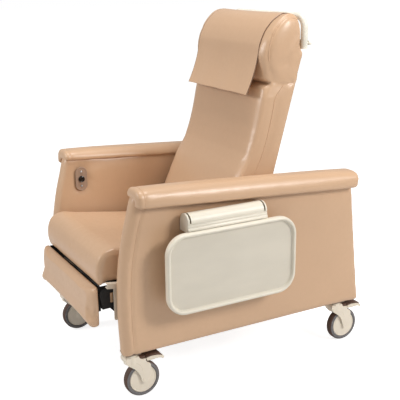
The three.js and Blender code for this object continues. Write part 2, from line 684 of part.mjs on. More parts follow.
function mirrored(geometry, side) {
  if (side > 0) {
    return geometry;
  }
  const copy = geometry.clone().scale(-1, 1, 1);
  const index = copy.index.array;
  for (let i = 0; i < index.length; i += 3) {
    [index[i], index[i + 1]] = [index[i + 1], index[i]];
  }
  copy.computeVertexNormals();
  return copy;
}

for (const [name, side] of sides) {
  place(`tray_${name}`, mirrored(trayTop(), side), creamPlastic);
  place(`tray_hinge_cover_${name}`, mirrored(hingeCover(), side), creamPlastic);
  place(`tray_hinge_bracket_${name}`, mirrored(hingeBracket(), side), brightSteel);
  place(`tray_hinge_rod_${name}`, bar([side * TRAY_PIVOT_X, COVER_Y0 + 3.5, TRAY_PIVOT_Z],
    [side * TRAY_PIVOT_X, COVER_Y1 - 3.5, TRAY_PIVOT_Z], TRAY_ROD_RADIUS), brightSteel);
}

// ---------------------------------------------------------------- casters

const FORK_HALF_WIDTH = 23;
const FORK_SLOT = 18;
const STEM_RADIUS = 6;
const AXLE_RADIUS = 5;
const AXLE_BORE = AXLE_RADIUS + 0.3;
const HUB_RADIUS = 49;
const TYRE_BORE = 49.8;
const HOOD_TOP = 156;

/** Round section spun about a wheel's axle; a flat facet touches the floor. */
function wheelRing(profile, segments) {
  const half = Math.PI / segments;
  const ring = new THREE.LatheGeometry(
    profile.map(([x, r]) => new THREE.Vector2(r / Math.cos(half), x)), segments);
  return ring.rotateY(half).rotateZ(-Math.PI / 2);
}

/** Closed ring profile from its right half, listed from the rim inwards. */
const symmetric = (half) => {
  const left = half.map(([x, r]) => [-x, r]);
  return [...left.toReversed(), ...half, left.at(-1)];
};

function tyre() {
  const w = TYRE_WIDTH / 2;
  const half = [[w - 8, WHEEL_RADIUS], [w - 2, 59], [w, 53], [w - 3, TYRE_BORE]];
  return wheelRing(symmetric(half), WHEEL_SEGMENTS);
}

function hub() {
  const half = [[12, HUB_RADIUS], [12, 34], [17, 14], [17, AXLE_BORE]];
  return wheelRing(symmetric(half), WHEEL_SEGMENTS);
}

/** S-shaped fork and hood; y is measured from the axle, z from the floor. */
function fork() {
  const outline = [
    [-62, HOOD_TOP], ...smooth([[-66, 148], [-58, 128], [-30, 104], [-15, 80], [-11, 60]], 6),
    ...arc(0, WHEEL_RADIUS, 11, 200, 340, 5), ...smooth([[16, 84], [24, 112], [8, 138]], 4),
    [6, HOOD_TOP],
  ];
  const room = WHEEL_RADIUS + 3.5;
  const wheelRoom = slab(
    [...arc(0, WHEEL_RADIUS, room, 0, 180, 14), [-room, 0], [room, 0]], -FORK_SLOT, FORK_SLOT);
  const stemHole = bar([0, -CASTER_TRAIL, 120], [0, -CASTER_TRAIL, HOOD_TOP + 4], STEM_RADIUS + 0.5);
  const axleHole = bar([-40, 0, WHEEL_RADIUS], [40, 0, WHEEL_RADIUS], AXLE_BORE);
  return carve([slab(outline, -FORK_HALF_WIDTH, FORK_HALF_WIDTH, 3)], [wheelRoom, stemHole, axleHole]);
}

/** Foot pedal: a dished tongue that points away from the stem. */
function pedal() {
  const outline = [[10, 150], [24, 157], [52, 155], [70, 148], [PEDAL_REACH, 132], [PEDAL_REACH - 6, 126],
    [58, 137], [32, 138], [12, 142]];
  return slab(outline, -FORK_HALF_WIDTH, FORK_HALF_WIDTH, 3);
}

/** Swivel stem with its plate under the side panel. */
function stem() {
  const top = PANEL_BOTTOM - FIT_GAP;
  const plate = 27;
  const thickness = 4;
  const fromTo = (low, high, radius, segments) =>
    bar([0, -CASTER_TRAIL, low], [0, -CASTER_TRAIL, high], radius, segments);
  return carve([
    box(-plate, plate, -CASTER_TRAIL - plate, -CASTER_TRAIL + plate, top - thickness, top),
    fromTo(HOOD_TOP + 1, top - 2, 20, 16),
    fromTo(HOOD_TOP - 24, top - 2, STEM_RADIUS),
  ]);
}

for (const [end, stemY] of [['front', STEM_FRONT_Y], ['rear', STEM_REAR_Y]]) {
  for (const [name, side] of sides) {
    const at = [side * STEM_X, stemY + CASTER_TRAIL, 0];
    const label = `${end}_${name}`;
    place(`caster_stem_${label}`, stem().translate(...at), brightSteel);
    place(`caster_fork_${label}`, fork().translate(...at), creamPlastic);
    place(`caster_pedal_${label}`, pedal().translate(...at), creamPlastic);
    const axle = bar([-FORK_HALF_WIDTH - 1, 0, 0], [FORK_HALF_WIDTH + 1, 0, 0], AXLE_RADIUS);
    const axleAt = [at[0], at[1], WHEEL_RADIUS];
    place(`caster_axle_${label}`, axle.translate(...axleAt), brightSteel);
    place(`caster_hub_${label}`, hub().translate(...axleAt), creamPlastic);
    place(`caster_tyre_${label}`, tyre().translate(...axleAt), greyRubber);
  }
}

export default chair;
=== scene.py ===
"""Patient recliner chair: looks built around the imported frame. Metres, +Z up, patient faces -Y."""
import json
import math

import bmesh
import bpy
import numpy as np
from mathutils import Matrix, Vector
from mathutils.bvhtree import BVHTree


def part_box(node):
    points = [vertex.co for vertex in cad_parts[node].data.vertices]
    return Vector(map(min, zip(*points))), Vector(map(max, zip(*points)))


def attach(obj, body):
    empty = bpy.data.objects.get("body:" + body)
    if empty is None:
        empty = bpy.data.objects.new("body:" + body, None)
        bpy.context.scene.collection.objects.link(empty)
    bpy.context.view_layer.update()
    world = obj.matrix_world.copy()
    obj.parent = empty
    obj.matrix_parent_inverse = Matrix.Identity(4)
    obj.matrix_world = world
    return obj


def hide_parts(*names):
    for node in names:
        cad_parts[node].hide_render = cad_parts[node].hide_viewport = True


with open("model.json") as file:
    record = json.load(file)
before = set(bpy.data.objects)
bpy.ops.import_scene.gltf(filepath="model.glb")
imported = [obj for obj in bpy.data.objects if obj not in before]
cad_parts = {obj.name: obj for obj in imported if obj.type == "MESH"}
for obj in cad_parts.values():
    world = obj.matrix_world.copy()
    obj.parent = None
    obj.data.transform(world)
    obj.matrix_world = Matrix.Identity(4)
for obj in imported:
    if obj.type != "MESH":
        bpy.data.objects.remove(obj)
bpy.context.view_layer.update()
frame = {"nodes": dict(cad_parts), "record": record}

MM = 0.001
RAY_START = 0.3  # how far outside the pillow a ray starts
SIDES = (("left", 1), ("right", -1))
ENDS = ("front", "rear")


# ------------------------------------------------------------------ node materials

def fill(tree, shader, inputs):
    """Sets a node's inputs, each to a value or to the output socket of another node."""
    for key, value in inputs.items():
        if isinstance(value, bpy.types.NodeSocket):
            tree.links.new(value, shader.inputs[key])
        else:
            shader.inputs[key].default_value = value


def node(tree, kind, inputs=None, **settings):
    made = tree.nodes.new(kind)
    for key, value in settings.items():
        setattr(made, key, value)
    fill(tree, made, inputs or {})
    return made


def material(name):
    made = bpy.data.materials.new(name)
    made.use_nodes = True
    tree = made.node_tree
    tree.nodes.clear()
    surface = node(tree, "ShaderNodeBsdfPrincipled")
    output = node(tree, "ShaderNodeOutputMaterial")
    tree.links.new(surface.outputs["BSDF"], output.inputs["Surface"])
    return made, tree, surface


def rgba(colour, factor=1.0):
    return (colour[0] * factor, colour[1] * factor, colour[2] * factor, 1.0)


def object_place(tree):
    """The piece's own rest coordinates, so a pattern stays put when the piece moves."""
    return node(tree, "ShaderNodeTexCoord").outputs["Object"]


def pointiness(tree):
    """Above 0.5 on outer edges, below it in creases."""
    return node(tree, "ShaderNodeNewGeometry").outputs["Pointiness"]


def noise_value(tree, scale, detail=2.0, roughness=0.5, stretch=(1, 1, 1)):
    mapping = node(tree, "ShaderNodeMapping", {"Vector": object_place(tree), "Scale": stretch})
    return node(tree, "ShaderNodeTexNoise", {
        "Vector": mapping.outputs["Vector"], "Scale": scale, "Detail": detail, "Roughness": roughness,
    }).outputs["Fac"]


def ramp(tree, value, low, high, out_low=0.0, out_high=1.0):
    return node(tree, "ShaderNodeMapRange", {
        "Value": value, "From Min": low, "From Max": high, "To Min": out_low, "To Max": out_high,
    }).outputs["Result"]


def blend_colour(tree, factor, first, second):
    """Mixes two colours; 0, 6 and 7 are the Mix node's inputs when it works on colours."""
    return node(tree, "ShaderNodeMix", {0: factor, 6: first, 7: second}, data_type="RGBA").outputs[2]


def shaded(tree, value, low, high, colour, dark, light):
    """The colour times dark where the value is low, and times light where it is high."""
    return blend_colour(tree, ramp(tree, value, low, high), rgba(colour, dark), rgba(colour, light))


def bump(tree, height, distance, strength, below=None):
    inputs = {"Height": height, "Distance": distance, "Strength": strength}
    if below is not None:
        inputs["Normal"] = below
    return node(tree, "ShaderNodeBump", inputs).outputs["Normal"]


def vinyl(name, colour, sheen=0.36):
    """Upholstery vinyl: pebble grain, soft hand, slight colour drift, painted shade in creases and painted
    highlight on outer edges.
    """
    made, tree, surface = material(name)
    mottling = noise_value(tree, 55.0, 4.0, 0.6)
    edge = pointiness(tree)
    tone = shaded(tree, noise_value(tree, 2.3, 3.0), 0.3, 0.7, colour, 0.96, 1.05)
    tone = blend_colour(tree, ramp(tree, mottling, 0.35, 0.75, 0.0, 0.3), tone, rgba(colour, 0.92))
    # painted shade: darker where pointiness is low, in creases; painted highlight: lighter on outer edges,
    # where it is high
    tone = blend_colour(tree, ramp(tree, edge, 0.44, 0.49, 0.5, 0.0), tone, rgba(colour, 0.5))
    tone = blend_colour(tree, ramp(tree, edge, 0.53, 0.60, 0.0, 0.5), tone, rgba(colour, 1.25))
    pebble = node(tree, "ShaderNodeTexVoronoi", {
        "Vector": object_place(tree), "Scale": 620.0, "Randomness": 1.0,
    }, feature="SMOOTH_F1").outputs["Distance"]
    soft = bump(tree, noise_value(tree, 9.0, 3.0, 0.55), 4 * MM, 0.25)
    fill(tree, surface, {
        "Base Color": tone,
        "Roughness": ramp(tree, mottling, 0.3, 0.8, sheen - 0.04, sheen + 0.08),
        "Normal": bump(tree, pebble, 0.25 * MM, 0.5, soft),
        "Specular IOR Level": 0.5, "Coat Weight": 0.22, "Coat Roughness": 0.28,
    })
    return made


def moulded_plastic(name, colour, roughness=0.38, texture=900.0):
    """Moulded plastic: fine spark texture, faint flow marks and a little translucency."""
    made, tree, surface = material(name)
    scuff = noise_value(tree, 240.0, 5.0, 0.7)
    tone = shaded(tree, noise_value(tree, 6.0, 2.0, 0.5, (1, 1, 3)), 0.3, 0.7, colour, 0.97, 1.03)
    tone = blend_colour(tree, ramp(tree, scuff, 0.62, 0.8, 0.0, 0.2), tone, rgba(colour, 0.82))
    # painted shade: darker in creases, where pointiness is low
    tone = blend_colour(tree, ramp(tree, pointiness(tree), 0.42, 0.49, 0.4, 0.0), tone, rgba(colour, 0.6))
    fill(tree, surface, {
        "Base Color": tone,
        "Roughness": ramp(tree, scuff, 0.3, 0.8, roughness - 0.05, roughness + 0.12),
        "Normal": bump(tree, noise_value(tree, texture, 2.0), 0.12 * MM, 0.5),
        "Subsurface Weight": 0.06, "Subsurface Radius": (4 * MM, 3 * MM, 2 * MM),
    })
    return made


def powder_coat(name, colour, roughness=0.45):
    """Powder-coated steel: orange peel, with a painted highlight that lightens the outer edges."""
    made, tree, surface = material(name)
    dust = noise_value(tree, 18.0, 4.0, 0.6)
    tone = shaded(tree, dust, 0.35, 0.75, colour, 0.9, 1.15)
    # painted highlight: lighter on outer edges, where pointiness is high
    tone = blend_colour(tree, ramp(tree, pointiness(tree), 0.54, 0.62, 0.0, 0.6), tone, rgba(colour, 1.8))
    fill(tree, surface, {
        "Base Color": tone,
        "Roughness": ramp(tree, dust, 0.3, 0.8, roughness - 0.08, roughness + 0.12),
        "Normal": bump(tree, noise_value(tree, 420.0, 2.0), 0.2 * MM, 0.4),
        "Specular IOR Level": 0.3,
    })
    return made


def plated_steel(name, colour=(0.62, 0.62, 0.63)):
    """Zinc-plated steel with drawn brush marks."""
    made, tree, surface = material(name)
    brushed = noise_value(tree, 300.0, 3.0, 0.6, (1, 1, 12))
    fill(tree, surface, {
        "Base Color": shaded(tree, brushed, 0.3, 0.7, colour, 0.85, 1.1),
        "Roughness": ramp(tree, brushed, 0.3, 0.7, 0.22, 0.4),
        "Normal": bump(tree, brushed, 0.05 * MM, 0.4),
        "Metallic": 1.0,
    })
    return made


def rubber(name, colour):
    """Tyre, tread and other matt goods, with fine dust in the pores."""
    made, tree, surface = material(name)
    dust = noise_value(tree, 90.0, 5.0, 0.65)
    fill(tree, surface, {
        "Base Color": shaded(tree, dust, 0.4, 0.75, colour, 0.85, 1.35),
        "Roughness": ramp(tree, dust, 0.3, 0.8, 0.55, 0.8),
        "Normal": bump(tree, noise_value(tree, 1500.0, 2.0), 0.1 * MM, 0.5),
    })
    return made


def plywood(name):
    """Birch plywood with rings of grain."""
    made, tree, surface = material(name)
    rings = node(tree, "ShaderNodeTexWave", {
        "Vector": object_place(tree), "Scale": 14.0, "Distortion": 9.0, "Detail": 3.0, "Detail Scale": 1.5,
    }, bands_direction="X").outputs["Fac"]
    fill(tree, surface, {
        "Base Color": blend_colour(tree, rings, (0.50, 0.32, 0.16, 1.0), (0.62, 0.43, 0.24, 1.0)),
        "Normal": bump(tree, rings, 0.2 * MM, 0.4),
        "Roughness": 0.75,
    })
    return made


TAN = (0.60, 0.385, 0.235)
BINDING = (0.20, 0.11, 0.065)
CREAM = (0.74, 0.68, 0.565)

finishes = {name: make(name, *values) for make, name, *values in (
    (vinyl, "tan_vinyl", TAN),
    (vinyl, "binding", BINDING),
    (moulded_plastic, "cream_plastic", CREAM),
    # the tray's flat face: coarser and rougher than the cream, and darker as painted shade in the recess
    (moulded_plastic, "tray_liner", (0.64, 0.585, 0.485), 0.5, 420.0),
    (moulded_plastic, "caster_plastic", (0.80, 0.71, 0.58), 0.42),
    (powder_coat, "cream_steel", (0.80, 0.76, 0.66), 0.35),
    (powder_coat, "black_steel", (0.010, 0.009, 0.009), 0.6),
    # near-black for the dark space under the seat: painted shade
    (rubber, "dust_cloth", (0.006, 0.005, 0.005)),
    (powder_coat, "beige_steel", (0.50, 0.44, 0.36)),
    (plated_steel, "bright_steel"),
    (rubber, "grey_tyre", (0.17, 0.16, 0.16)),
    (rubber, "tread", (0.095, 0.05, 0.035)),
    # dark brown for the caster tops in shadow under the panel: painted shade
    (rubber, "pedal_rubber", (0.11, 0.055, 0.035)),
    # dark taupe for the stems in the gap under the panel: painted shade
    (powder_coat, "stem_steel", (0.20, 0.15, 0.11), 0.6),
    (rubber, "buffer_rubber", (0.46, 0.27, 0.15)),
    (moulded_plastic, "black_plastic", (0.008, 0.007, 0.007), 0.12),
    (moulded_plastic, "taupe_plastic", (0.36, 0.24, 0.17), 0.45),
    (plywood, "plywood"),
)}


# ------------------------------------------------------------------ mesh tools

def finish_piece(piece, finish, body, *replaced):
    """Gives a piece its material, unless it has one, and its body, and hides the CAD nodes it stands for."""
    if not piece.data.materials:
        piece.data.materials.append(finishes[finish])
    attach(piece, body)
    if replaced:
        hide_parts(*replaced)
    return piece


def shade_smooth(piece, sharp_degrees=None):
    """Smooth shading; edges sharper than the angle keep a crisp normal."""
    mesh = piece.data
    mesh.polygons.foreach_set("use_smooth", [True] * len(mesh.polygons))
    if sharp_degrees is not None:
        mesh.set_sharp_from_angle(angle=math.radians(sharp_degrees))
    return piece


def linked(name, data):
    """A new object in the scene for a mesh, lamp or camera."""
    made = bpy.data.objects.new(name, data)
    bpy.context.scene.collection.objects.link(made)
    return made


def new_piece(name, verts, faces, smooth=True):
    mesh = bpy.data.meshes.new(name)
    mesh.from_pydata([tuple(v) for v in verts], [], faces)
    mesh.validate()
    piece = linked(name, mesh)
    work = bmesh.new()
    work.from_mesh(mesh)
    bmesh.ops.recalc_face_normals(work, faces=work.faces)
    work.to_mesh(mesh)
    work.free()
    if smooth:
        shade_smooth(piece, 40)
    return piece


def coordinates(piece):
    co = np.zeros(len(piece.data.vertices) * 3)
    piece.data.vertices.foreach_get("co", co)
    return co.reshape(-1, 3)


def normals(piece):
    values = np.zeros(len(piece.data.vertices) * 3)
    piece.data.vertices.foreach_get("normal", values)
    return values.reshape(-1, 3)


def set_coordinates(piece, co):
    piece.data.vertices.foreach_set("co", co.ravel())
    piece.data.update()


def apply_modifiers(piece):
    """Replaces the mesh by its evaluated form and drops the modifiers."""
    depsgraph = bpy.context.evaluated_depsgraph_get()
    mesh = bpy.data.meshes.new_from_object(piece.evaluated_get(depsgraph))
    piece.modifiers.clear()
    piece.data = mesh
    return piece


def modified(piece, kind, **settings):
    """Adds one modifier and applies it."""
    modifier = piece.modifiers.new(kind, kind)
    for key, value in settings.items():
        setattr(modifier, key, value)
    return apply_modifiers(piece)


def vertex_group(piece, name, where):
    """Groups the vertices where `where` holds, and gives the name for a modifier."""
    group = piece.vertex_groups.new(name=name)
    for index in np.flatnonzero(where):
        group.add([int(index)], 1.0, "REPLACE")
    return group.name


def copy_node(name, *cad_nodes):
    """One new object holding copies of the CAD nodes' meshes."""
    work = bmesh.new()
    for cad_node in cad_nodes:
        work.from_mesh(frame["nodes"][cad_node].data)
    bmesh.ops.remove_doubles(work, verts=work.verts, dist=0.01 * MM)
    mesh = bpy.data.meshes.new(name)
    work.to_mesh(mesh)
    work.free()
    return linked(name, mesh)


def relax(piece, rounds, where=None):
    """Smooths a body, as foam does under a cover; `where` picks the vertices it acts on."""
    group = "" if where is None else vertex_group(piece, "where", where)
    modified(piece, "SMOOTH", iterations=rounds, factor=0.5, vertex_group=group)
    piece.vertex_groups.clear()
    return piece


def fitted(piece, low, high):
    """Scales a piece so that its box is the CAD box again."""
    co = coordinates(piece)
    now_low, now_high = co.min(axis=0), co.max(axis=0)
    low, high = np.array(low), np.array(high)
    set_coordinates(piece, low + (co - now_low) * (high - low) / (now_high - now_low))
    return piece


def subdivide(piece):
    return modified(piece, "SUBSURF", levels=1, render_levels=1)


def bevelled(piece, width, segments, angle):
    """Adds a live bevel to the edges sharper than the angle."""
    modifier = piece.modifiers.new("bevel", "BEVEL")
    modifier.width = width
    modifier.segments = segments
    modifier.limit_method = "ANGLE"
    modifier.angle_limit = math.radians(angle)
    modifier.harden_normals = False
    return piece


def rounded(piece, width, segments, angle, sharp_degrees):
    """Bevels the edges for good and shades the rest smooth."""
    apply_modifiers(bevelled(piece, width, segments, angle))
    return shade_smooth(piece, sharp_degrees)


def inflate(piece, pressure, cap, held):
    """Cloth under pressure; `held` marks vertices that rest on something. Moves are capped."""
    rest = coordinates(piece)
    cloth = piece.modifiers.new("cloth", "CLOTH")
    settings = cloth.settings
    settings.quality = 4
    settings.mass = 0.25
    settings.tension_stiffness = 12
    settings.compression_stiffness = 12
    settings.shear_stiffness = 6
    settings.bending_stiffness = 1.2
    settings.use_pressure = True
    settings.uniform_pressure_force = pressure
    settings.effector_weights.gravity = 0
    settings.vertex_group_mass = vertex_group(piece, "held", held)
    cloth.collision_settings.use_collision = False
    scene = bpy.context.scene
    for step in range(1, 21):
        scene.frame_set(step)
    apply_modifiers(piece)
    scene.frame_set(1)
    moved = coordinates(piece) - rest
    length = np.linalg.norm(moved, axis=1)
    share = np.minimum(1.0, cap / np.maximum(length, 1e-9))
    set_coordinates(piece, rest + moved * share[:, None])
    piece.vertex_groups.clear()
    return piece


def section(piece, axis, value):
    """Loops of points, longest first, where a plane across the axis cuts the piece."""
    work = bmesh.new()
    work.from_mesh(piece.data)
    normal = Vector((0, 0, 0))
    normal[axis] = 1.0
    cut = bmesh.ops.bisect_plane(work, geom=work.verts[:] + work.edges[:] + work.faces[:],
                                 plane_co=normal * value, plane_no=normal, dist=1e-7)["geom_cut"]
    edges = dict.fromkeys(e for e in cut if isinstance(e, bmesh.types.BMEdge))  # keeps the mesh's order
    loops = []
    while edges:
        edge = next(iter(edges))
        loop = [edge.verts[0]]
        while edge:
            del edges[edge]
            loop.append(edge.other_vert(loop[-1]))
            edge = next((e for e in loop[-1].link_edges if e in edges), None)
        loops.append([v.co.copy() for v in loop])
    work.free()
    return sorted(loops, key=len, reverse=True)


def even_path(points, spacing, smoothing=4):
    """A path with even steps, lightly smoothed."""
    co = np.array([tuple(p) for p in points])
    for _ in range(smoothing):
        co[1:-1] = (co[:-2] + 2 * co[1:-1] + co[2:]) / 4
    steps = np.r_[0, np.cumsum(np.linalg.norm(np.diff(co, axis=0), axis=1))]
    count = max(3, int(steps[-1] / spacing))
    at = np.linspace(0, steps[-1], count)
    return [Vector((np.interp(t, steps, co[:, 0]), np.interp(t, steps, co[:, 1]),
                    np.interp(t, steps, co[:, 2]))) for t in at]


def tube(name, points, radius, sides=10):
    """Round cord along a path, with capped ends."""
    rings = []
    last = len(points) - 1
    turns = [2 * math.pi * k / sides for k in range(sides)]
    up = Vector((0.3, 0.2, 0.93)).normalized()
    for i, point in enumerate(points):
        along = (points[min(i + 1, last)] - points[max(i - 1, 0)]).normalized()
        across = (along.cross(up) if abs(along.dot(up)) < 0.98 else along.orthogonal()).normalized()
        up = across.cross(along).normalized()
        rings.append([point + (across * math.cos(turn) + up * math.sin(turn)) * radius for turn in turns])
    return stacked_rings(name, rings)


def seam_groove(piece, distance_to_seam, width, depth):
    """Pulls the cover in along a seam; distance_to_seam maps coordinates to a distance."""
    co = coordinates(piece)
    away = np.abs(distance_to_seam(co)) / width
    pull = np.where(away < 1, (1 - away ** 2) ** 2, 0) * depth
    set_coordinates(piece, co - normals(piece) * pull[:, None])
    return piece


def spline(points, count):
    """Catmull-Rom curve through a few points."""
    points = [Vector(p) for p in points]
    padded = [2 * points[0] - points[1], *points, 2 * points[-1] - points[-2]]
    spans = len(points) - 1
    made = []
    for i in range(count + 1):
        t = i * spans / count
        k = min(int(t), spans - 1)
        u = t - k
        a, b, c, d = padded[k:k + 4]
        made.append(0.5 * ((2 * b) + (c - a) * u + (2 * a - 5 * b + 4 * c - d) * u ** 2
                           + (3 * b - a - 3 * c + d) * u ** 3))
    return made


def spline_about(y, z, offsets, count):
    """Spline through points given in millimetres from (y, z)."""
    return spline([(y + dy * MM, z + dz * MM) for dy, dz in offsets], count)


def arc(cy, cz, radius, start, stop, count):
    """Points on an arc in a plane, in degrees from its first axis towards its second."""
    return [Vector((cy + radius * math.cos(math.radians(start + (stop - start) * i / count)),
                    cz + radius * math.sin(math.radians(start + (stop - start) * i / count))))
            for i in range(count + 1)]


def rounded_rectangle(y0, y1, z0, z1, radius, count):
    return (arc(y1 - radius, z1 - radius, radius, 0, 90, count)
            + arc(y0 + radius, z1 - radius, radius, 90, 180, count)
            + arc(y0 + radius, z0 + radius, radius, 180, 270, count)
            + arc(y1 - radius, z0 + radius, radius, 270, 360, count))


def stacked_rings(name, rings, smooth=True, looped=False):
    """Skins equal rings of points; closes both ends, or joins the last ring to the first."""
    size, count = len(rings[0]), len(rings)
    faces = []
    for i in range(count if looped else count - 1):
        j = (i + 1) % count
        for k in range(size):
            m = (k + 1) % size
            faces.append((i * size + k, i * size + m, j * size + m, j * size + k))
    if not looped:
        faces.append(tuple(range(size)))
        faces.append(tuple(range((count - 1) * size, count * size)))
    return new_piece(name, [p for ring in rings for p in ring], faces, smooth)


def side_plate(name, outline, x0, x1):
    """An outline in (y, z) carried from x0 to x1."""
    return stacked_rings(name, [[Vector((x, p[0], p[1])) for p in outline] for x in (x0, x1)])


def cut_away(piece, *tools):
    for tool in tools:
        modified(piece, "BOOLEAN", operation="DIFFERENCE", solver="EXACT", object=tool)
        bpy.data.objects.remove(tool)
    return piece


def circle(centre, axis, along, radius, segments):
    """Points of a circle about a line parallel to the axis, moved along it from the centre."""
    first, second = (k for k in range(3) if k != axis)
    points = []
    for k in range(segments):
        turn = 2 * math.pi * k / segments
        point = centre.copy()
        point[axis] += along
        point[first] += radius * math.cos(turn)
        point[second] += radius * math.sin(turn)
        points.append(point)
    return points


def spun(name, profile, centre, segments=96, axis=0, looped=False):
    """A profile of (distance along, radius) spun about an axis; looped leaves the middle open."""
    rings = [circle(centre, axis, along, radius, segments) for along, radius in profile]
    return stacked_rings(name, rings, looped=looped)


def middle(node_name):
    low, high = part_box(node_name)
    return (low + high) / 2


# ------------------------------------------------------------------ soft goods

def soft_body(name, voxel, rounding, pressure, cap, held, *cad_nodes, shape=None):
    """A foam pad under a vinyl cover, in the space of its CAD solids.

    held(coordinates, normals) marks what rests on a board; shape() edits the start coordinates.
    """
    piece = copy_node(name, *cad_nodes)
    start = coordinates(piece)
    low, high = start.min(axis=0), start.max(axis=0)
    if shape:
        set_coordinates(piece, shape(start))
    modified(piece, "REMESH", mode="VOXEL", voxel_size=voxel)
    relax(piece, rounding)
    inflate(piece, pressure, cap, held(coordinates(piece), normals(piece)))
    relax(piece, 2)
    fitted(piece, low, high)
    return shade_smooth(piece)


def welt(name, body, path, radius=1.6 * MM):
    """Sewn cord seam along a path."""
    return finish_piece(tube(name, even_path(path, 4 * MM), radius), "tan_vinyl", body)


def cast_path(piece, rays):
    """Where rays, each a start and a direction, first meet the piece."""
    tree = BVHTree.FromObject(piece, bpy.context.evaluated_depsgraph_get())
    hits = [tree.ray_cast(start, direction)[0] for start, direction in rays]
    return [hit for hit in hits if hit is not None]


def edge_path(piece, x, keep):
    """The part of the piece's section at x where keep(point) holds, in order."""
    loop = section(piece, 0, x)[0]
    flags = [keep(p) for p in loop]
    if all(flags):
        return loop
    start = next(i for i in range(len(loop)) if flags[i] and not flags[i - 1])
    ordered = loop[start:] + loop[:start]
    return [p for p in ordered if keep(p)]


def seat_cushion():
    low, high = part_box("seat_cushion")
    piece = soft_body("seat_cushion_cover", 6 * MM, 4, 4.0, 3.5 * MM,
                      lambda co, normal: (normal[:, 2] < -0.6) & (co[:, 1] > low.y + 50 * MM),
                      "seat_cushion")
    co = coordinates(piece)
    at_corner = np.clip((np.abs(co[:, 0]) - high.x + 22 * MM) / (18 * MM), 0, 1)
    at_front = np.clip((low.y + 85 * MM - co[:, 1]) / (40 * MM), 0, 1)
    lower = np.clip((low.z + 80 * MM - co[:, 2]) / (50 * MM), 0, 1)
    droop = 14 * MM
    co[:, 2] -= at_corner * at_front * lower * droop
    set_coordinates(piece, co)
    seam_x = high.x - 8 * MM
    seam_groove(piece, lambda co: np.abs(co[:, 0]) - seam_x, 7 * MM, 2.5 * MM)
    subdivide(piece)
    finish_piece(piece, "tan_vinyl", "seat", "seat_cushion")
    for side, sign in SIDES:
        path = edge_path(piece, sign * seam_x, lambda p: p.z > low.z + 40 * MM or p.y < low.y + 40 * MM)
        welt(f"seat_seam_{side}", "seat", path)


def cover_front(co):
    """The y of the outside-back cover's front face at the height of every vertex."""
    cover_low, cover_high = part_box("back_cover")
    lean = (cover_high.y - cover_low.y - 22 * MM) / (cover_high.z - cover_low.z)
    return cover_low.y + lean * (co[:, 2] - cover_low.z)


def back_shape(co):
    """Carries the cushion's and the pillow's rear back into the outside-back cover."""
    front = cover_front(co)
    behind = (co[:, 1] > front - 42 * MM) & (co[:, 1] < front)
    below_top = co[:, 2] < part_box("back_cover")[1].z + 20 * MM
    co[:, 1] = np.where(behind & below_top, front + 11 * MM, co[:, 1])
    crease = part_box("headrest_cushion")[0].z
    near = np.abs(co[:, 2] - crease) < 4 * MM
    co[:, 2] = np.where(near & (co[:, 2] < crease), crease + 2 * MM, co[:, 2])
    return co


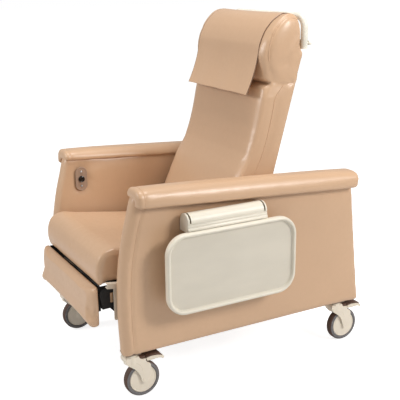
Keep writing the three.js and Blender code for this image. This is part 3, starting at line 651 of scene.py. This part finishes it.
def back_upholstery():
    """Back, pillow and outside back share one cover; a deep crease parts the first two at the front."""
    low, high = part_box("back_cushion")
    pillow_low, pillow_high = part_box("headrest_cushion")
    side_band = 26 * MM
    board = 140 * MM
    cover_margin = 8 * MM

    def leaning(co, offset):
        """The y of a plane that leans as the back does, offset from the cushion's lower front edge."""
        return low.y + offset + 0.27 * (co[:, 2] - low.z)

    def near_side(co):
        return np.abs(co[:, 0]) > high.x - side_band

    def before_cover(co):
        return co[:, 1] < cover_front(co) - cover_margin

    piece = soft_body("back_and_pillow", 6 * MM, 4, 4.0, 7 * MM,
                      lambda co, normal: co[:, 1] > leaning(co, board),
                      "back_cushion", "headrest_cushion", "back_cover", shape=back_shape)
    relax(piece, 10, coordinates(piece)[:, 2] > pillow_low.z + 20 * MM)
    co = coordinates(piece)
    behind_welt = co[:, 1] > leaning(co, 45 * MM)
    below_crown = co[:, 2] < pillow_low.z + 60 * MM
    relax(piece, 30, near_side(co) & behind_welt & below_crown & before_cover(co))

    co = coordinates(piece)
    centre = (pillow_low + pillow_high) / 2
    half = (pillow_high - pillow_low) / 2
    forward = np.minimum((co[:, 1] - centre.y) / half.y, 0.45)
    upward = np.maximum((co[:, 2] - centre.z) / half.z, -0.45)
    to_rim = np.clip(np.hypot(forward, upward), 0, 1.1)
    on_side = np.clip((np.abs(co[:, 0]) - high.x + 50 * MM) / (40 * MM), 0, 1)
    above = np.clip((co[:, 2] - pillow_low.z) / (30 * MM), 0, 1)
    crown, crease, crease_pinch = 9 * MM, 26 * MM, 5 * MM
    co[:, 0] -= np.sign(co[:, 0]) * on_side * above * to_rim ** 4 * crown
    reach = np.clip(1 - np.abs(co[:, 2] - pillow_low.z) / (18 * MM), 0, 1) ** 2
    front = np.clip((pillow_low.y + 90 * MM - co[:, 1]) / (60 * MM), 0, 1)
    co[:, 1] += reach * front * crease
    co[:, 0] -= np.sign(co[:, 0]) * reach * front * crease_pinch
    set_coordinates(piece, co)
    near_crease = np.abs(co[:, 2] - pillow_low.z) < 45 * MM
    behind_face = co[:, 1] > pillow_low.y + 5 * MM
    relax(piece, 60, near_side(co) & near_crease & behind_face & before_cover(co))

    seam_x = high.x - 11 * MM
    pillow_seam_x = seam_x - 5 * MM

    def to_side_seam(co):
        return np.abs(co[:, 0]) - np.where(co[:, 2] > pillow_low.z, pillow_seam_x, seam_x)

    def to_rear_seam(co):
        return np.where(np.abs(co[:, 0]) > seam_x, co[:, 1] - leaning(co, board) - side_band, 1.0)

    seam_groove(piece, to_side_seam, 7 * MM, 2.8 * MM)
    seam_groove(piece, to_rear_seam, 8 * MM, 0.8 * MM)
    subdivide(piece)
    finish_piece(piece, "tan_vinyl", "back", "back_cushion", "headrest_cushion", "back_cover")
    heights = np.linspace(low.z + 20 * MM, high.z - 6 * MM, 90)
    turns = [math.radians(60 + 155 * i / 90) for i in range(91)]
    for side, sign in SIDES:
        rays = [(Vector((sign * seam_x, low.y - 0.2, h)), Vector((0, 1, 0))) for h in heights]
        welt(f"back_seam_{side}", "back", cast_path(piece, rays))
        spokes = [Vector((0, math.cos(turn), math.sin(turn))) for turn in turns]
        hub = Vector((sign * pillow_seam_x, centre.y, centre.z))
        welt(f"pillow_seam_{side}", "back",
             cast_path(piece, [(hub + spoke * RAY_START, -spoke) for spoke in spokes]), 1.8 * MM)
    return piece


def hang_seat_shade_sheet():
    """Near-black sheet hung under the front of the seat, between the leg-rest arms: painted shade for the
    dark space there.
    """
    start_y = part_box("seat_cushion")[0].y + 20 * MM
    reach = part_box("legrest_cross_tube")[1].x - 6 * MM
    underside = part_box("seat_rail_left")[1].z
    fall = spline([(start_y, underside + 1 * MM), (start_y + 7 * MM, underside - 34 * MM),
                   (start_y + 27 * MM, underside - 62 * MM)], 14)
    thickness, wave = 1.5 * MM, 1.5 * MM
    outline = fall + [Vector((p.x + thickness, p.y - thickness)) for p in reversed(fall)]
    stations = [-reach + 2 * reach * i / 30 for i in range(31)]
    rings = [[Vector((x, p.x + math.sin(x * 45) * wave, p.y)) for p in outline] for x in stations]
    finish_piece(stacked_rings("seat_shade_sheet", rings), "dust_cloth", "seat")


def foot_pad():
    piece = soft_body("foot_pad_cover", 5 * MM, 5, 4.0, 8 * MM,
                      lambda co, normal: normal[:, 1] > 0.7, "footrest_pad")
    finish_piece(subdivide(piece), "tan_vinyl", "footrest", "footrest_pad")


def foot_buffer():
    """Near-black side blocks on the ears of the foot-rest board, painted shade for the dark space under the
    seat, and a rubber buffer on the left one.
    """
    low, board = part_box("footrest_board")
    outer = board.x + 15 * MM
    top = board.z - 12 * MM
    outline = spline([(low.y + 8 * MM, low.z + 14 * MM), (low.y + 3 * MM, top), (board.y + 4 * MM, top),
                      (board.y + 2 * MM, low.z + 30 * MM), (board.y - 14 * MM, low.z + 15 * MM)], 24)
    for side, sign in SIDES:
        # the blocks' near-black is painted shade
        block = side_plate(f"footrest_block_{side}", outline, sign * (board.x - 1 * MM), sign * outer)
        finish_piece(block, "dust_cloth", "footrest")
    radius = 6 * MM
    centre = Vector((outer - 2 * MM, board.y - 10 * MM, board.z - 36 * MM))
    path = [centre + Vector((0, 0, (i - 5) * 3.3 * MM)) for i in range(11)]
    finish_piece(tube("footrest_buffer", path, radius, 20), "buffer_rubber", "footrest")


def arm_pads():
    """Padded arm rails: a domed front cap behind a welt, flat where they sit on the panel."""
    for side, _ in SIDES:
        cad = f"arm_pad_{side}"
        low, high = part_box(cad)
        piece = soft_body(f"{cad}_cover", 6 * MM, 5, 3.0, 5 * MM,
                          lambda co, normal: normal[:, 2] < -0.5, cad)
        co = coordinates(piece)
        cap = 24 * MM
        shrink = 1 - 0.22 * np.clip((low.y + cap - co[:, 1]) / cap, 0, 1) ** 4
        for axis, centre in ((0, (low.x + high.x) / 2), (2, high.z - 30 * MM)):
            co[:, axis] = centre + (co[:, axis] - centre) * shrink
        set_coordinates(piece, co)
        seam_y = low.y + 26 * MM
        seam_groove(piece, lambda co: co[:, 1] - seam_y, 6 * MM, 2.4 * MM)
        relax(piece, 2)
        finish_piece(subdivide(piece), "tan_vinyl", "base", cad)
        welt(f"arm_front_seam_{side}", "base", section(piece, 1, seam_y)[0], 1.2 * MM)


def panel_front(co, low, band=8 * MM):
    """The y of the panel's front edge at the height of every vertex."""
    level = ((co[:, 2] - low.z) / band).astype(int)
    front = np.full(level.max() + 1, np.inf)
    np.minimum.at(front, level, co[:, 1])
    heights = low.z + (np.arange(len(front)) + 0.5) * band
    return np.interp(co[:, 2], heights, front)


def side_panels():
    """Padded panels: full round front edge with a seam behind it, a dimple round the release plate."""
    plate = middle("release_plate")
    seam_offset = 36 * MM
    pad_slope = 0.058
    for side, sign in SIDES:
        cad = f"side_panel_{side}"
        low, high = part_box(cad)
        half = (high.x - low.x) / 2
        mid = (high.x + low.x) / 2
        piece = soft_body(f"{cad}_cover", 9 * MM, 2, 2.0, 3 * MM,
                          lambda co, normal: normal[:, 2] < -0.5, cad)
        subdivide(piece)
        co = coordinates(piece)
        across = np.clip(np.abs(co[:, 0] - mid) / half, 0, 1)
        round_edge = panel_front(co, low) + half * (1 - np.sqrt(1 - across ** 2))
        co[:, 1] = np.maximum(co[:, 1], round_edge)
        corner = np.exp(-((high.y - co[:, 1]) ** 2 + (co[:, 2] - low.z) ** 2) / (45 * MM) ** 2)
        co[:, 2] -= corner * 4 * MM
        if sign < 0:
            away = np.hypot(co[:, 1] - plate.y, np.maximum(np.abs(co[:, 2] - plate.z) - 24 * MM, 0))
            inner = np.clip((co[:, 0] - mid) / half, 0, 1)
            co[:, 0] -= inner * np.exp(-(away / (34 * MM)) ** 4) * 3 * MM
        set_coordinates(piece, co)
        relax(piece, 3)
        co = coordinates(piece)
        top_edge = co[:, 2].max() - pad_slope * (co[:, 1] - low.y)
        co[:, 2] += np.clip((co[:, 2] - top_edge + 50 * MM) / (40 * MM), 0, 1) * 9 * MM
        set_coordinates(piece, co)
        co = coordinates(piece)
        front = panel_front(co, low)
        on_outer = sign * (co[:, 0] - mid) > 0
        to_seam = np.where(on_outer, co[:, 1] - front - seam_offset, 1.0)
        seam_groove(piece, lambda co: to_seam, 11 * MM, 2.2 * MM)
        finish_piece(piece, "tan_vinyl", "base", cad)
        heights = np.linspace(low.z + 8 * MM, high.z - 60 * MM, 60)
        ahead = cast_path(piece, [(Vector((mid, low.y - 0.1, h)), Vector((0, 1, 0))) for h in heights])
        outside = (high.x if sign > 0 else low.x) + sign * 0.1
        rays = [(Vector((outside, p.y + seam_offset, p.z)), Vector((-sign, 0, 0))) for p in ahead]
        welt(f"panel_front_seam_{side}", "base", cast_path(piece, rays), 0.9 * MM)


def head_cover(pillow):
    """Loose vinyl sheet draped over the pillow; its lower end hangs free."""
    low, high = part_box("head_cover")
    centre = middle("headrest_cushion")
    tree = BVHTree.FromObject(pillow, bpy.context.evaluated_depsgraph_get())
    first_turn, last_turn = 40, 172
    columns, drape, hang = 85, 64, 40
    rows = []
    for i in range(drape):
        turn = math.radians(first_turn + (last_turn - first_turn) * i / (drape - 1))
        outwards = Vector((0, math.cos(turn), math.sin(turn)))
        row = []
        for k in range(columns):
            hub = Vector((low.x + (high.x - low.x) * k / (columns - 1), centre.y, centre.z))
            row.append(tree.ray_cast(hub + outwards * RAY_START, -outwards)[0] + outwards * 2 * MM)
        rows.append(row)
    for i in range(1, hang + 1):
        t = i / hang
        row = []
        for k, top in enumerate(rows[drape - 1]):
            sway = math.sin(k * 0.21) * 1.6 * MM * t
            y = top.y + (low.y + 5 * MM - top.y) * (0.35 * t + 0.65 * t * t) + sway
            row.append(Vector((top.x * (1 + 0.004 * t), y, top.z + (low.z - top.z) * t)))
        rows.append(row)
    for _ in range(10):
        for i in range(drape - 14, drape + 14):
            rows[i] = [(rows[i - 1][k] + rows[i][k] * 2 + rows[i + 1][k]) / 4 for k in range(columns)]
    verts = [p for row in rows for p in row]
    faces = [(i * columns + k, i * columns + k + 1, (i + 1) * columns + k + 1, (i + 1) * columns + k)
             for i in range(len(rows) - 1) for k in range(columns - 1)]
    sheet = new_piece("head_cover_flap", verts, faces)
    modified(sheet, "SOLIDIFY", thickness=2.2 * MM, offset=0)
    rounded(sheet, 0.8 * MM, 2, 60, 60)
    finish_piece(sheet, "tan_vinyl", "back", "head_cover")
    for side, column in (("left", columns - 1), ("right", 0)):
        edge = tube(f"head_cover_binding_{side}", [row[column] for row in rows[10:]], 1.5 * MM, 8)
        finish_piece(edge, "binding", "back")
    finish_piece(tube("head_cover_hem", rows[-5], 0.8 * MM, 6), "tan_vinyl", "back")


# ------------------------------------------------------------------ side trays

def trays():
    """Dished tray: rounded back, raised rim, step, flat face in a darker copy of the cream as painted shade
    in the recess.
    """
    for side, sign in SIDES:
        cad = f"tray_{side}"
        low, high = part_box(cad)
        back = sign * min(abs(low.x), abs(high.x))
        face = sign * max(abs(low.x), abs(high.x))
        depth = abs(face - back)
        corner = 70 * MM
        profile = [(30, 0.0), (7, 0.0), (3.5, 0.04), (1.2, 0.12), (0, 0.3), (0, 0.62), (0.8, 0.8),
                   (2.6, 0.93), (5, 0.99), (7, 1.0), (9.5, 0.985), (11.6, 0.92), (12.8, 0.82), (13.8, 0.66),
                   (15, 0.58), (17, 0.545), (20, 0.53), (24, 0.53), (60, 0.53)]
        rings = []
        for inset, share in profile:
            d = inset * MM
            radius = max(corner - d, 12 * MM)
            outline = rounded_rectangle(low.y + d, high.y - d, low.z + d, high.z - d, radius, 22)
            rings.append([Vector((back + sign * depth * share, p.x, p.y)) for p in outline])
        piece = stacked_rings(f"{cad}_top", rings)
        piece.data.materials.append(finishes["cream_plastic"])
        piece.data.materials.append(finishes["tray_liner"])
        # faces on the dish's floor get the darker copy of the cream: painted shade
        for polygon in piece.data.polygons:
            painted_shade_face = abs(polygon.center.x - back) < depth * 0.545 and polygon.normal.x * sign > 0.5
            polygon.material_index = 1 if painted_shade_face else 0
        shade_smooth(piece, 30)
        finish_piece(piece, "cream_plastic", f"tray_{side}", cad)


def hinge_covers():
    """Rounded cover over the tray's rod, flared at the foot, with slots for the wall arms."""
    wall, web, bay = 3 * MM, 4 * MM, 15 * MM
    slot_inset, slot_half = 10 * MM, 3 * MM
    for side, sign in SIDES:
        cad = f"tray_hinge_cover_{side}"
        low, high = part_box(cad)
        rod = middle(f"tray_hinge_rod_{side}")
        radius = high.z - rod.z
        tray_low, tray_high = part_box(f"tray_{side}")
        tray_back = min(abs(tray_low.x), abs(tray_high.x))
        centre = abs(rod.x)
        foot = tray_high.z + 2 * MM
        rear_foot = rod.z - 33 * MM
        flare = max(abs(low.x), abs(high.x)) - centre - radius

        outline = arc(centre, rod.z, radius, 180, 0, 40)
        for i in range(1, 25):
            t = i / 24
            ridge = 1.1 * MM * math.sin(t * math.pi * 2.5) ** 2
            outline.append(Vector((centre + radius + flare * t ** 2 - ridge, rod.z + (foot - rod.z) * t)))
        tongue = ((tray_back - 0.4 * MM, foot), (tray_back - 0.4 * MM, low.z), (tray_back - 4 * MM, low.z),
                  (tray_back - 4 * MM, rear_foot), (centre - radius, rear_foot))
        outline += [Vector(p) for p in tongue]
        rings = []
        for y, inset in ((low.y, 3 * MM), (low.y + 1 * MM, 1.2 * MM), (low.y + 3 * MM, 0.0),
                         (high.y - 3 * MM, 0.0), (high.y - 1 * MM, 1.2 * MM), (high.y, 3 * MM)):
            ring = []
            for p in outline:
                away = Vector((p.x - centre, p.y - rod.z))
                shrink = 1 - inset / max(away.length, radius)
                ring.append(Vector((sign * (centre + away.x * shrink), y, rod.z + away.y * shrink)))
            rings.append(ring)
        piece = stacked_rings(f"{cad}_shell", rings)

        def block(shape, y0, y1):
            ends = [[Vector((sign * p.x, y, p.y)) for p in shape] for y in (y0, y1)]
            return stacked_rings("tool", ends, False)

        inside = radius - wall
        below = rear_foot - 5 * MM
        room = arc(centre, rod.z, inside, 180, 0, 32)
        room += [Vector((centre + inside, foot + 6 * MM)), Vector((tray_back - 6 * MM, foot + 6 * MM)),
                 Vector((tray_back - 6 * MM, below)), Vector((centre - inside, below))]
        slot = arc(centre, rod.z, 60 * MM, 205, 0, 24) + arc(centre, rod.z, 9 * MM, 0, 205, 12)
        slots = [block(slot, y - slot_half, y + slot_half)
                 for y in (low.y + slot_inset, high.y - slot_inset)]
        cut_away(piece, block(room, low.y + wall, low.y + bay),
                 block(room, low.y + bay + web, high.y - bay - web),
                 block(room, high.y - bay, high.y - wall), *slots)
        shade_smooth(piece, 35)
        finish_piece(piece, "cream_plastic", f"tray_{side}", cad)


# ------------------------------------------------------------------ push bar and release

def push_bar():
    """Tube bent round two corners, with a bolt knob behind the foot of each leg."""
    low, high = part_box("push_bar")
    radius = (high.y - low.y) / 2
    y = (low.y + high.y) / 2
    x = high.x - radius
    top = high.z - radius
    bend = 38 * MM
    leg = top - bend - low.z
    up = [Vector((-x, low.z + leg * i / 8)) for i in range(8)]
    level = [Vector((bend - x + 2 * (x - bend) * i / 24, top)) for i in range(1, 24)]
    down = [Vector((x, p.y)) for p in reversed(up)]
    path = (up + arc(bend - x, top - bend, bend, 180, 90, 16) + level
            + arc(x - bend, top - bend, bend, 90, 0, 16) + down)
    bar = tube("push_bar_tube", [Vector((p.x, y, p.y)) for p in path], radius, 28)
    finish_piece(bar, "cream_steel", "back", "push_bar")
    profile = [(d * MM, r * MM) for d, r in ((0, 4), (6, 4), (6.5, 7), (8, 8), (15, 8), (17, 7), (17.5, 3))]
    for side, sign in SIDES:
        foot = Vector((sign * x, y + radius - 1 * MM, low.z + 20 * MM))
        finish_piece(spun(f"push_bar_knob_{side}", profile, foot, 24, 1), "cream_steel", "back")


def release():
    """Oval plate, domed push button with a dished face, and two cross-head screws."""
    low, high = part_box("release_plate")
    centre = (low + high) / 2
    half = (high.y - low.y) / 2
    reach = (high.z - low.z) / 2 - half
    button_low, button_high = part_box("release_button")
    button = middle("release_button")
    r = (button_high.y - button_low.y) / 2

    def stadium(inset):
        return (arc(centre.y, centre.z + reach, half - inset, 0, 180, 24)
                + arc(centre.y, centre.z - reach, half - inset, 180, 360, 24))

    rings = []
    for inset, share in ((0, 0.0), (0, 0.55), (0.5, 0.85), (1.4, 1.0), (3.2, 1.0), (4.2, 0.8), (5.5, 0.7),
                         (9, 0.7)):
        x = low.x + (high.x - low.x) * share
        rings.append([Vector((x, p.x, p.y)) for p in stadium(inset * MM)])
    plate = stacked_rings("release_plate_cover", rings)
    bore = r + 0.5 * MM
    cut_away(plate, spun("tool", [(-10 * MM, bore), (10 * MM, bore)], centre, 48))
    shade_smooth(plate, 35)
    finish_piece(plate, "taupe_plastic", "base", "release_plate")

    face = button_high.x - button.x
    back = button_low.x - button.x
    cap = spun("release_button_cap", [
        (back, r * 0.9), (back, r), (face - 2 * MM, r), (face - 0.6 * MM, r * 0.95), (face, r * 0.82),
        (face - 0.9 * MM, r * 0.68), (face - 0.5 * MM, r * 0.45), (face, r * 0.12)], button, 64)
    finish_piece(cap, "black_plastic", "release_button", "release_button")

    for name in ("upper", "lower"):
        cad = f"release_screw_{name}"
        box_low, box_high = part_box(cad)
        seat = middle(cad)
        seat.x = box_low.x
        r = (box_high.y - box_low.y) / 2
        height = box_high.x - box_low.x
        head = spun(f"{cad}_head", [(0, r * 0.5), (0, r), (height * 0.35, r), (height * 0.7, r * 0.82),
                                    (height, r * 0.4)], seat, 40)
        for wide, tall in ((0.8 * MM, r * 1.1), (r * 1.1, 0.8 * MM)):
            corners = [Vector((seat.y + a * wide / 2, seat.z + b * tall / 2))
                       for a, b in ((-1, -1), (1, -1), (1, 1), (-1, 1))]
            cut_away(head, side_plate("tool", corners, seat.x + height * 0.4, seat.x + height * 2))
        shade_smooth(head, 35)
        finish_piece(head, "bright_steel", "base", cad)


# ------------------------------------------------------------------ casters

def both_halves(half):
    """A symmetric (x, radius) loop from its right half in millimetres."""
    right = [(x * MM, r * MM) for x, r in half]
    return right + [(-x, r) for x, r in reversed(right)]


def caster_fork(label, body):
    """A curved blade on each side of the wheel, a bell round the stem, a dark saddle that paints the shade
    on the fork's top, and a rib.
    """
    axle = middle(f"caster_axle_{label}")
    stem = middle(f"caster_stem_{label}")
    low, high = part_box(f"caster_fork_{label}")
    half = (high.x - low.x) / 2
    y, z = axle.y, axle.z
    hood_y, hood_top = low.y, high.z
    shoulder = hood_top - 14 * MM
    front = spline([(hood_y + 3 * MM, hood_top), (hood_y, hood_top - 10 * MM),
                    (hood_y + 7 * MM, z + 68 * MM), (y - 44 * MM, z + 56 * MM), (y - 28 * MM, z + 42 * MM),
                    (y - 15 * MM, z + 20 * MM), (y - 9 * MM, z - 3 * MM)], 36)
    foot = spline_about(y, z, [(-9, -3), (-4, -10), (6, -11), (15, -3)], 14)
    rear = spline([(y + 15 * MM, z - 3 * MM), (y + 25 * MM, z + 14 * MM), (y + 28 * MM, z + 36 * MM),
                   (y + 24 * MM, z + 56 * MM), (y + 11 * MM, z + 66 * MM), (y + 8 * MM, shoulder)], 30)
    crown = spline_about(y, hood_top, [(-4, -13.5), (-11, -11), (-15, -6), (-17, 0)], 10)
    outline = front + foot[1:-1] + rear + crown
    fork = side_plate(f"caster_fork_{label}_body", outline, axle.x - half, axle.x + half)
    apply_modifiers(bevelled(fork, 5 * MM, 5, 60))
    wheel_room, slot_half = 66.5 * MM, 18 * MM
    room = arc(y, z, wheel_room, -5, 185, 48) + [Vector((y - wheel_room, 0)), Vector((y + wheel_room, 0))]
    cut_away(fork, side_plate("tool", room, axle.x - slot_half, axle.x + slot_half))
    rounded(fork, 1.2 * MM, 2, 40, 40)
    finish_piece(fork, "caster_plastic", body, f"caster_fork_{label}")

    collar = [(h * MM, r * MM) for h, r in ((-26, 24.5), (-14, 25), (-4, 23.5), (2, 21.8), (6.5, 21.2),
                                            (8, 20.6), (8, 18.6), (1.5, 17.5))]
    bell = spun(f"caster_bell_{label}", collar, Vector((stem.x, stem.y, hood_top)), 48, 2)
    finish_piece(bell, "caster_plastic", body)
    # the dark saddle is painted shade on the fork's top
    shade_outline = spline_about(y, shoulder, [(-26, -2), (-20, 8), (-6, 9), (6.5, 9), (6.5, -4)], 24)
    saddle = side_plate(f"caster_saddle_{label}", shade_outline, axle.x - 19 * MM, axle.x + 19 * MM)
    finish_piece(rounded(saddle, 2 * MM, 3, 50, 45), "pedal_rubber", body)
    line = spline_about(y, z, [(-40, 78), (-24, 70), (-10, 54), (-3, 34)], 24)
    for side, sign in SIDES:
        path = [Vector((axle.x + sign * (half - 0.3 * MM), p.x, p.y)) for p in line]
        finish_piece(tube(f"caster_rib_{label}_{side}", path, 1 * MM, 8), "caster_plastic", body)


def caster_wheel(label, body):
    """Dished hub with a raised rim ring inside a soft tyre with a darker tread."""
    axle = middle(f"caster_axle_{label}")
    low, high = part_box(f"caster_tyre_{label}")
    hub_low, hub_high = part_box(f"caster_hub_{label}")
    wheel = (high.z - low.z) / 2 / MM
    rim = (hub_high.z - hub_low.z) / 2 / MM
    w = (high.x - low.x) / 2 / MM
    boss = (hub_high.x - hub_low.x) / 2 / MM
    bore = rim + 0.8
    tyre = spun(f"caster_tyre_{label}_ring", both_halves(
        [(w - 3, bore), (w - 1, bore + 1), (w, bore + 3), (w - 0.4, bore + 5), (w - 1, bore + 5.6),
         (w - 0.8, bore + 7), (w - 2.6, bore + 10), (w - 4.5, wheel - 2), (w - 6.5, wheel - 0.8),
         (w - 9, wheel)]), axle, looped=True)
    tyre.data.materials.append(finishes["grey_tyre"])
    tyre.data.materials.append(finishes["tread"])
    for polygon in tyre.data.polygons:
        centre = polygon.center
        far = math.hypot(centre.y - axle.y, centre.z - axle.z)
        polygon.material_index = 1 if far > (wheel - 3) * MM else 0
    finish_piece(tyre, "grey_tyre", body, f"caster_tyre_{label}")
    hub = spun(f"caster_hub_{label}_disc", both_halves(
        [(boss, 5.4), (boss, 12), (boss - 1, 14.5), (14.6, 17), (14.2, 24), (13.6, rim - 9), (13.0, rim - 6),
         (13.8, rim - 4.6), (14.2, rim - 2.6), (13.2, rim - 0.8), (11, rim)]), axle, looped=True)
    finish_piece(hub, "caster_plastic", body, f"caster_hub_{label}")


def caster_pedal(label, body):
    """Curved brake tongue with a dark brown strip let into its top, painted shade under the panel."""
    low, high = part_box(f"caster_pedal_{label}")
    edge = low.z + 16 * MM
    top = spline([(low.y, edge), (low.y + 14 * MM, edge + 3 * MM), (low.y + 40 * MM, edge + 2 * MM),
                  (high.y - 10 * MM, edge - 3 * MM), (high.y, low.z + 7 * MM)], 30)
    bottom = spline([(high.y - 4 * MM, low.z), (low.y + 48 * MM, low.z + 6 * MM),
                     (low.y + 20 * MM, low.z + 5 * MM), (low.y + 3 * MM, low.z + 6 * MM)], 24)
    tongue = side_plate(f"caster_pedal_{label}_tongue", top + bottom, low.x, high.x)
    rounded(tongue, 2.5 * MM, 3, 50, 45)
    finish_piece(tongue, "caster_plastic", body, f"caster_pedal_{label}")
    # the dark strip on the tongue is painted shade
    inset = 3 * MM
    shade_outline = spline([(low.y + 1 * MM, edge - 2 * MM), (low.y + 2 * MM, edge + 5 * MM),
                    (low.y + 30 * MM, edge + 9 * MM), (high.y - 16 * MM, edge + 6 * MM),
                    (high.y - 5 * MM, edge - 5 * MM)], 26)
    tread = side_plate(f"caster_pedal_{label}_tread", shade_outline, low.x + inset, high.x - inset)
    finish_piece(rounded(tread, 2 * MM, 3, 50, 45), "pedal_rubber", body)


# ------------------------------------------------------------------ carried-over CAD nodes

def carried_nodes():
    """Steel and board parts whose CAD shape is right: broken edges and a real finish; the stems get a dark
    taupe that paints the shade under the panel.
    """
    slots = {row["node"]: row["material_slot"] for row in frame["record"]["subparts"]}
    for name, piece in frame["nodes"].items():
        if piece.hide_render:
            continue
        piece.data.materials.clear()
        finish = slots[name]
        # stems: painted shade
        if name.startswith("caster_stem"):
            finish = "stem_steel"
        elif name.startswith("caster_axle"):
            finish = "caster_plastic"
        piece.data.materials.append(finishes[finish])
        bevelled(piece, 0.8 * MM, 2, 35)


# ------------------------------------------------------------------ stage

def camera_only(tree, unseen, seen):
    """One strength for what the camera sees, and another for the light that reaches the object."""
    is_camera = node(tree, "ShaderNodeLightPath").outputs["Is Camera Ray"]
    return ramp(tree, is_camera, 0.0, 1.0, unseen, seen)


def stage():
    far = 30.0
    floor = new_piece("floor", [(-far, -far, 0), (far, -far, 0), (far, far, 0), (-far, far, 0)],
                      [(0, 1, 2, 3)], False)
    made, tree, surface = material("floor_white")
    fill(tree, surface, {
        "Base Color": blend_colour(tree, noise_value(tree, 0.4), (0.60, 0.60, 0.60, 1),
                                   (0.62, 0.62, 0.62, 1)),
        "Roughness": 0.8, "Emission Color": (1, 1, 1, 1), "Emission Strength": camera_only(tree, 0.12, 0.78),
    })
    floor.data.materials.append(made)
    world = bpy.data.worlds.new("studio")
    world.use_nodes = True
    sky = world.node_tree
    fill(sky, sky.nodes["Background"], {"Color": (1, 1, 1, 1), "Strength": camera_only(sky, 0.42, 1.0)})
    scene = bpy.context.scene
    scene.world = world
    scene.view_settings.view_transform = "Standard"
    for name, place, size, power in (("key", (3.1, 1.8, 2.5), 1.0, 82), ("fill", (-0.9, -3.4, 2.2), 0.9, 50),
                                     ("top", (0.4, 0.1, 3.6), 1.4, 52)):
        light = bpy.data.lights.new(name, "AREA")
        light.energy = power
        light.size = size
        lamp = linked(name, light)
        lamp.location = place
        lamp.rotation_euler = (Vector((0, 0, 0.6)) - Vector(place)).to_track_quat("-Z", "Y").to_euler()


def camera():
    azimuth, pitch, roll = math.radians(61.02), math.radians(16.19), math.radians(-0.5)
    aim = Vector((0.007, 0.011, 0.560))
    distance = 2.978
    level = math.cos(pitch)
    back = Vector((math.sin(azimuth) * level, -math.cos(azimuth) * level, math.sin(pitch)))
    right = Vector((math.cos(azimuth), math.sin(azimuth), 0))
    up = back.cross(right)
    turned_right = math.cos(roll) * right + math.sin(roll) * up
    turned_up = math.cos(roll) * up - math.sin(roll) * right
    lens = bpy.data.cameras.new("view")
    lens.lens = 70.6
    lens.sensor_width = 36.0
    eye = linked("view", lens)
    eye.matrix_world = Matrix.Translation(aim + back * distance) @ Matrix(
        (turned_right, turned_up, back)).transposed().to_4x4()
    bpy.context.scene.camera = eye


seat_cushion()
head_cover(back_upholstery())
hang_seat_shade_sheet()
foot_pad()
foot_buffer()
arm_pads()
side_panels()
trays()
hinge_covers()
push_bar()
release()
for end in ENDS:
    for side_name, _ in SIDES:
        label = f"{end}_{side_name}"
        caster_fork(label, f"caster_{label}")
        caster_wheel(label, f"wheel_{label}")
        caster_pedal(label, f"brake_{label}")
carried_nodes()
stage()
camera()
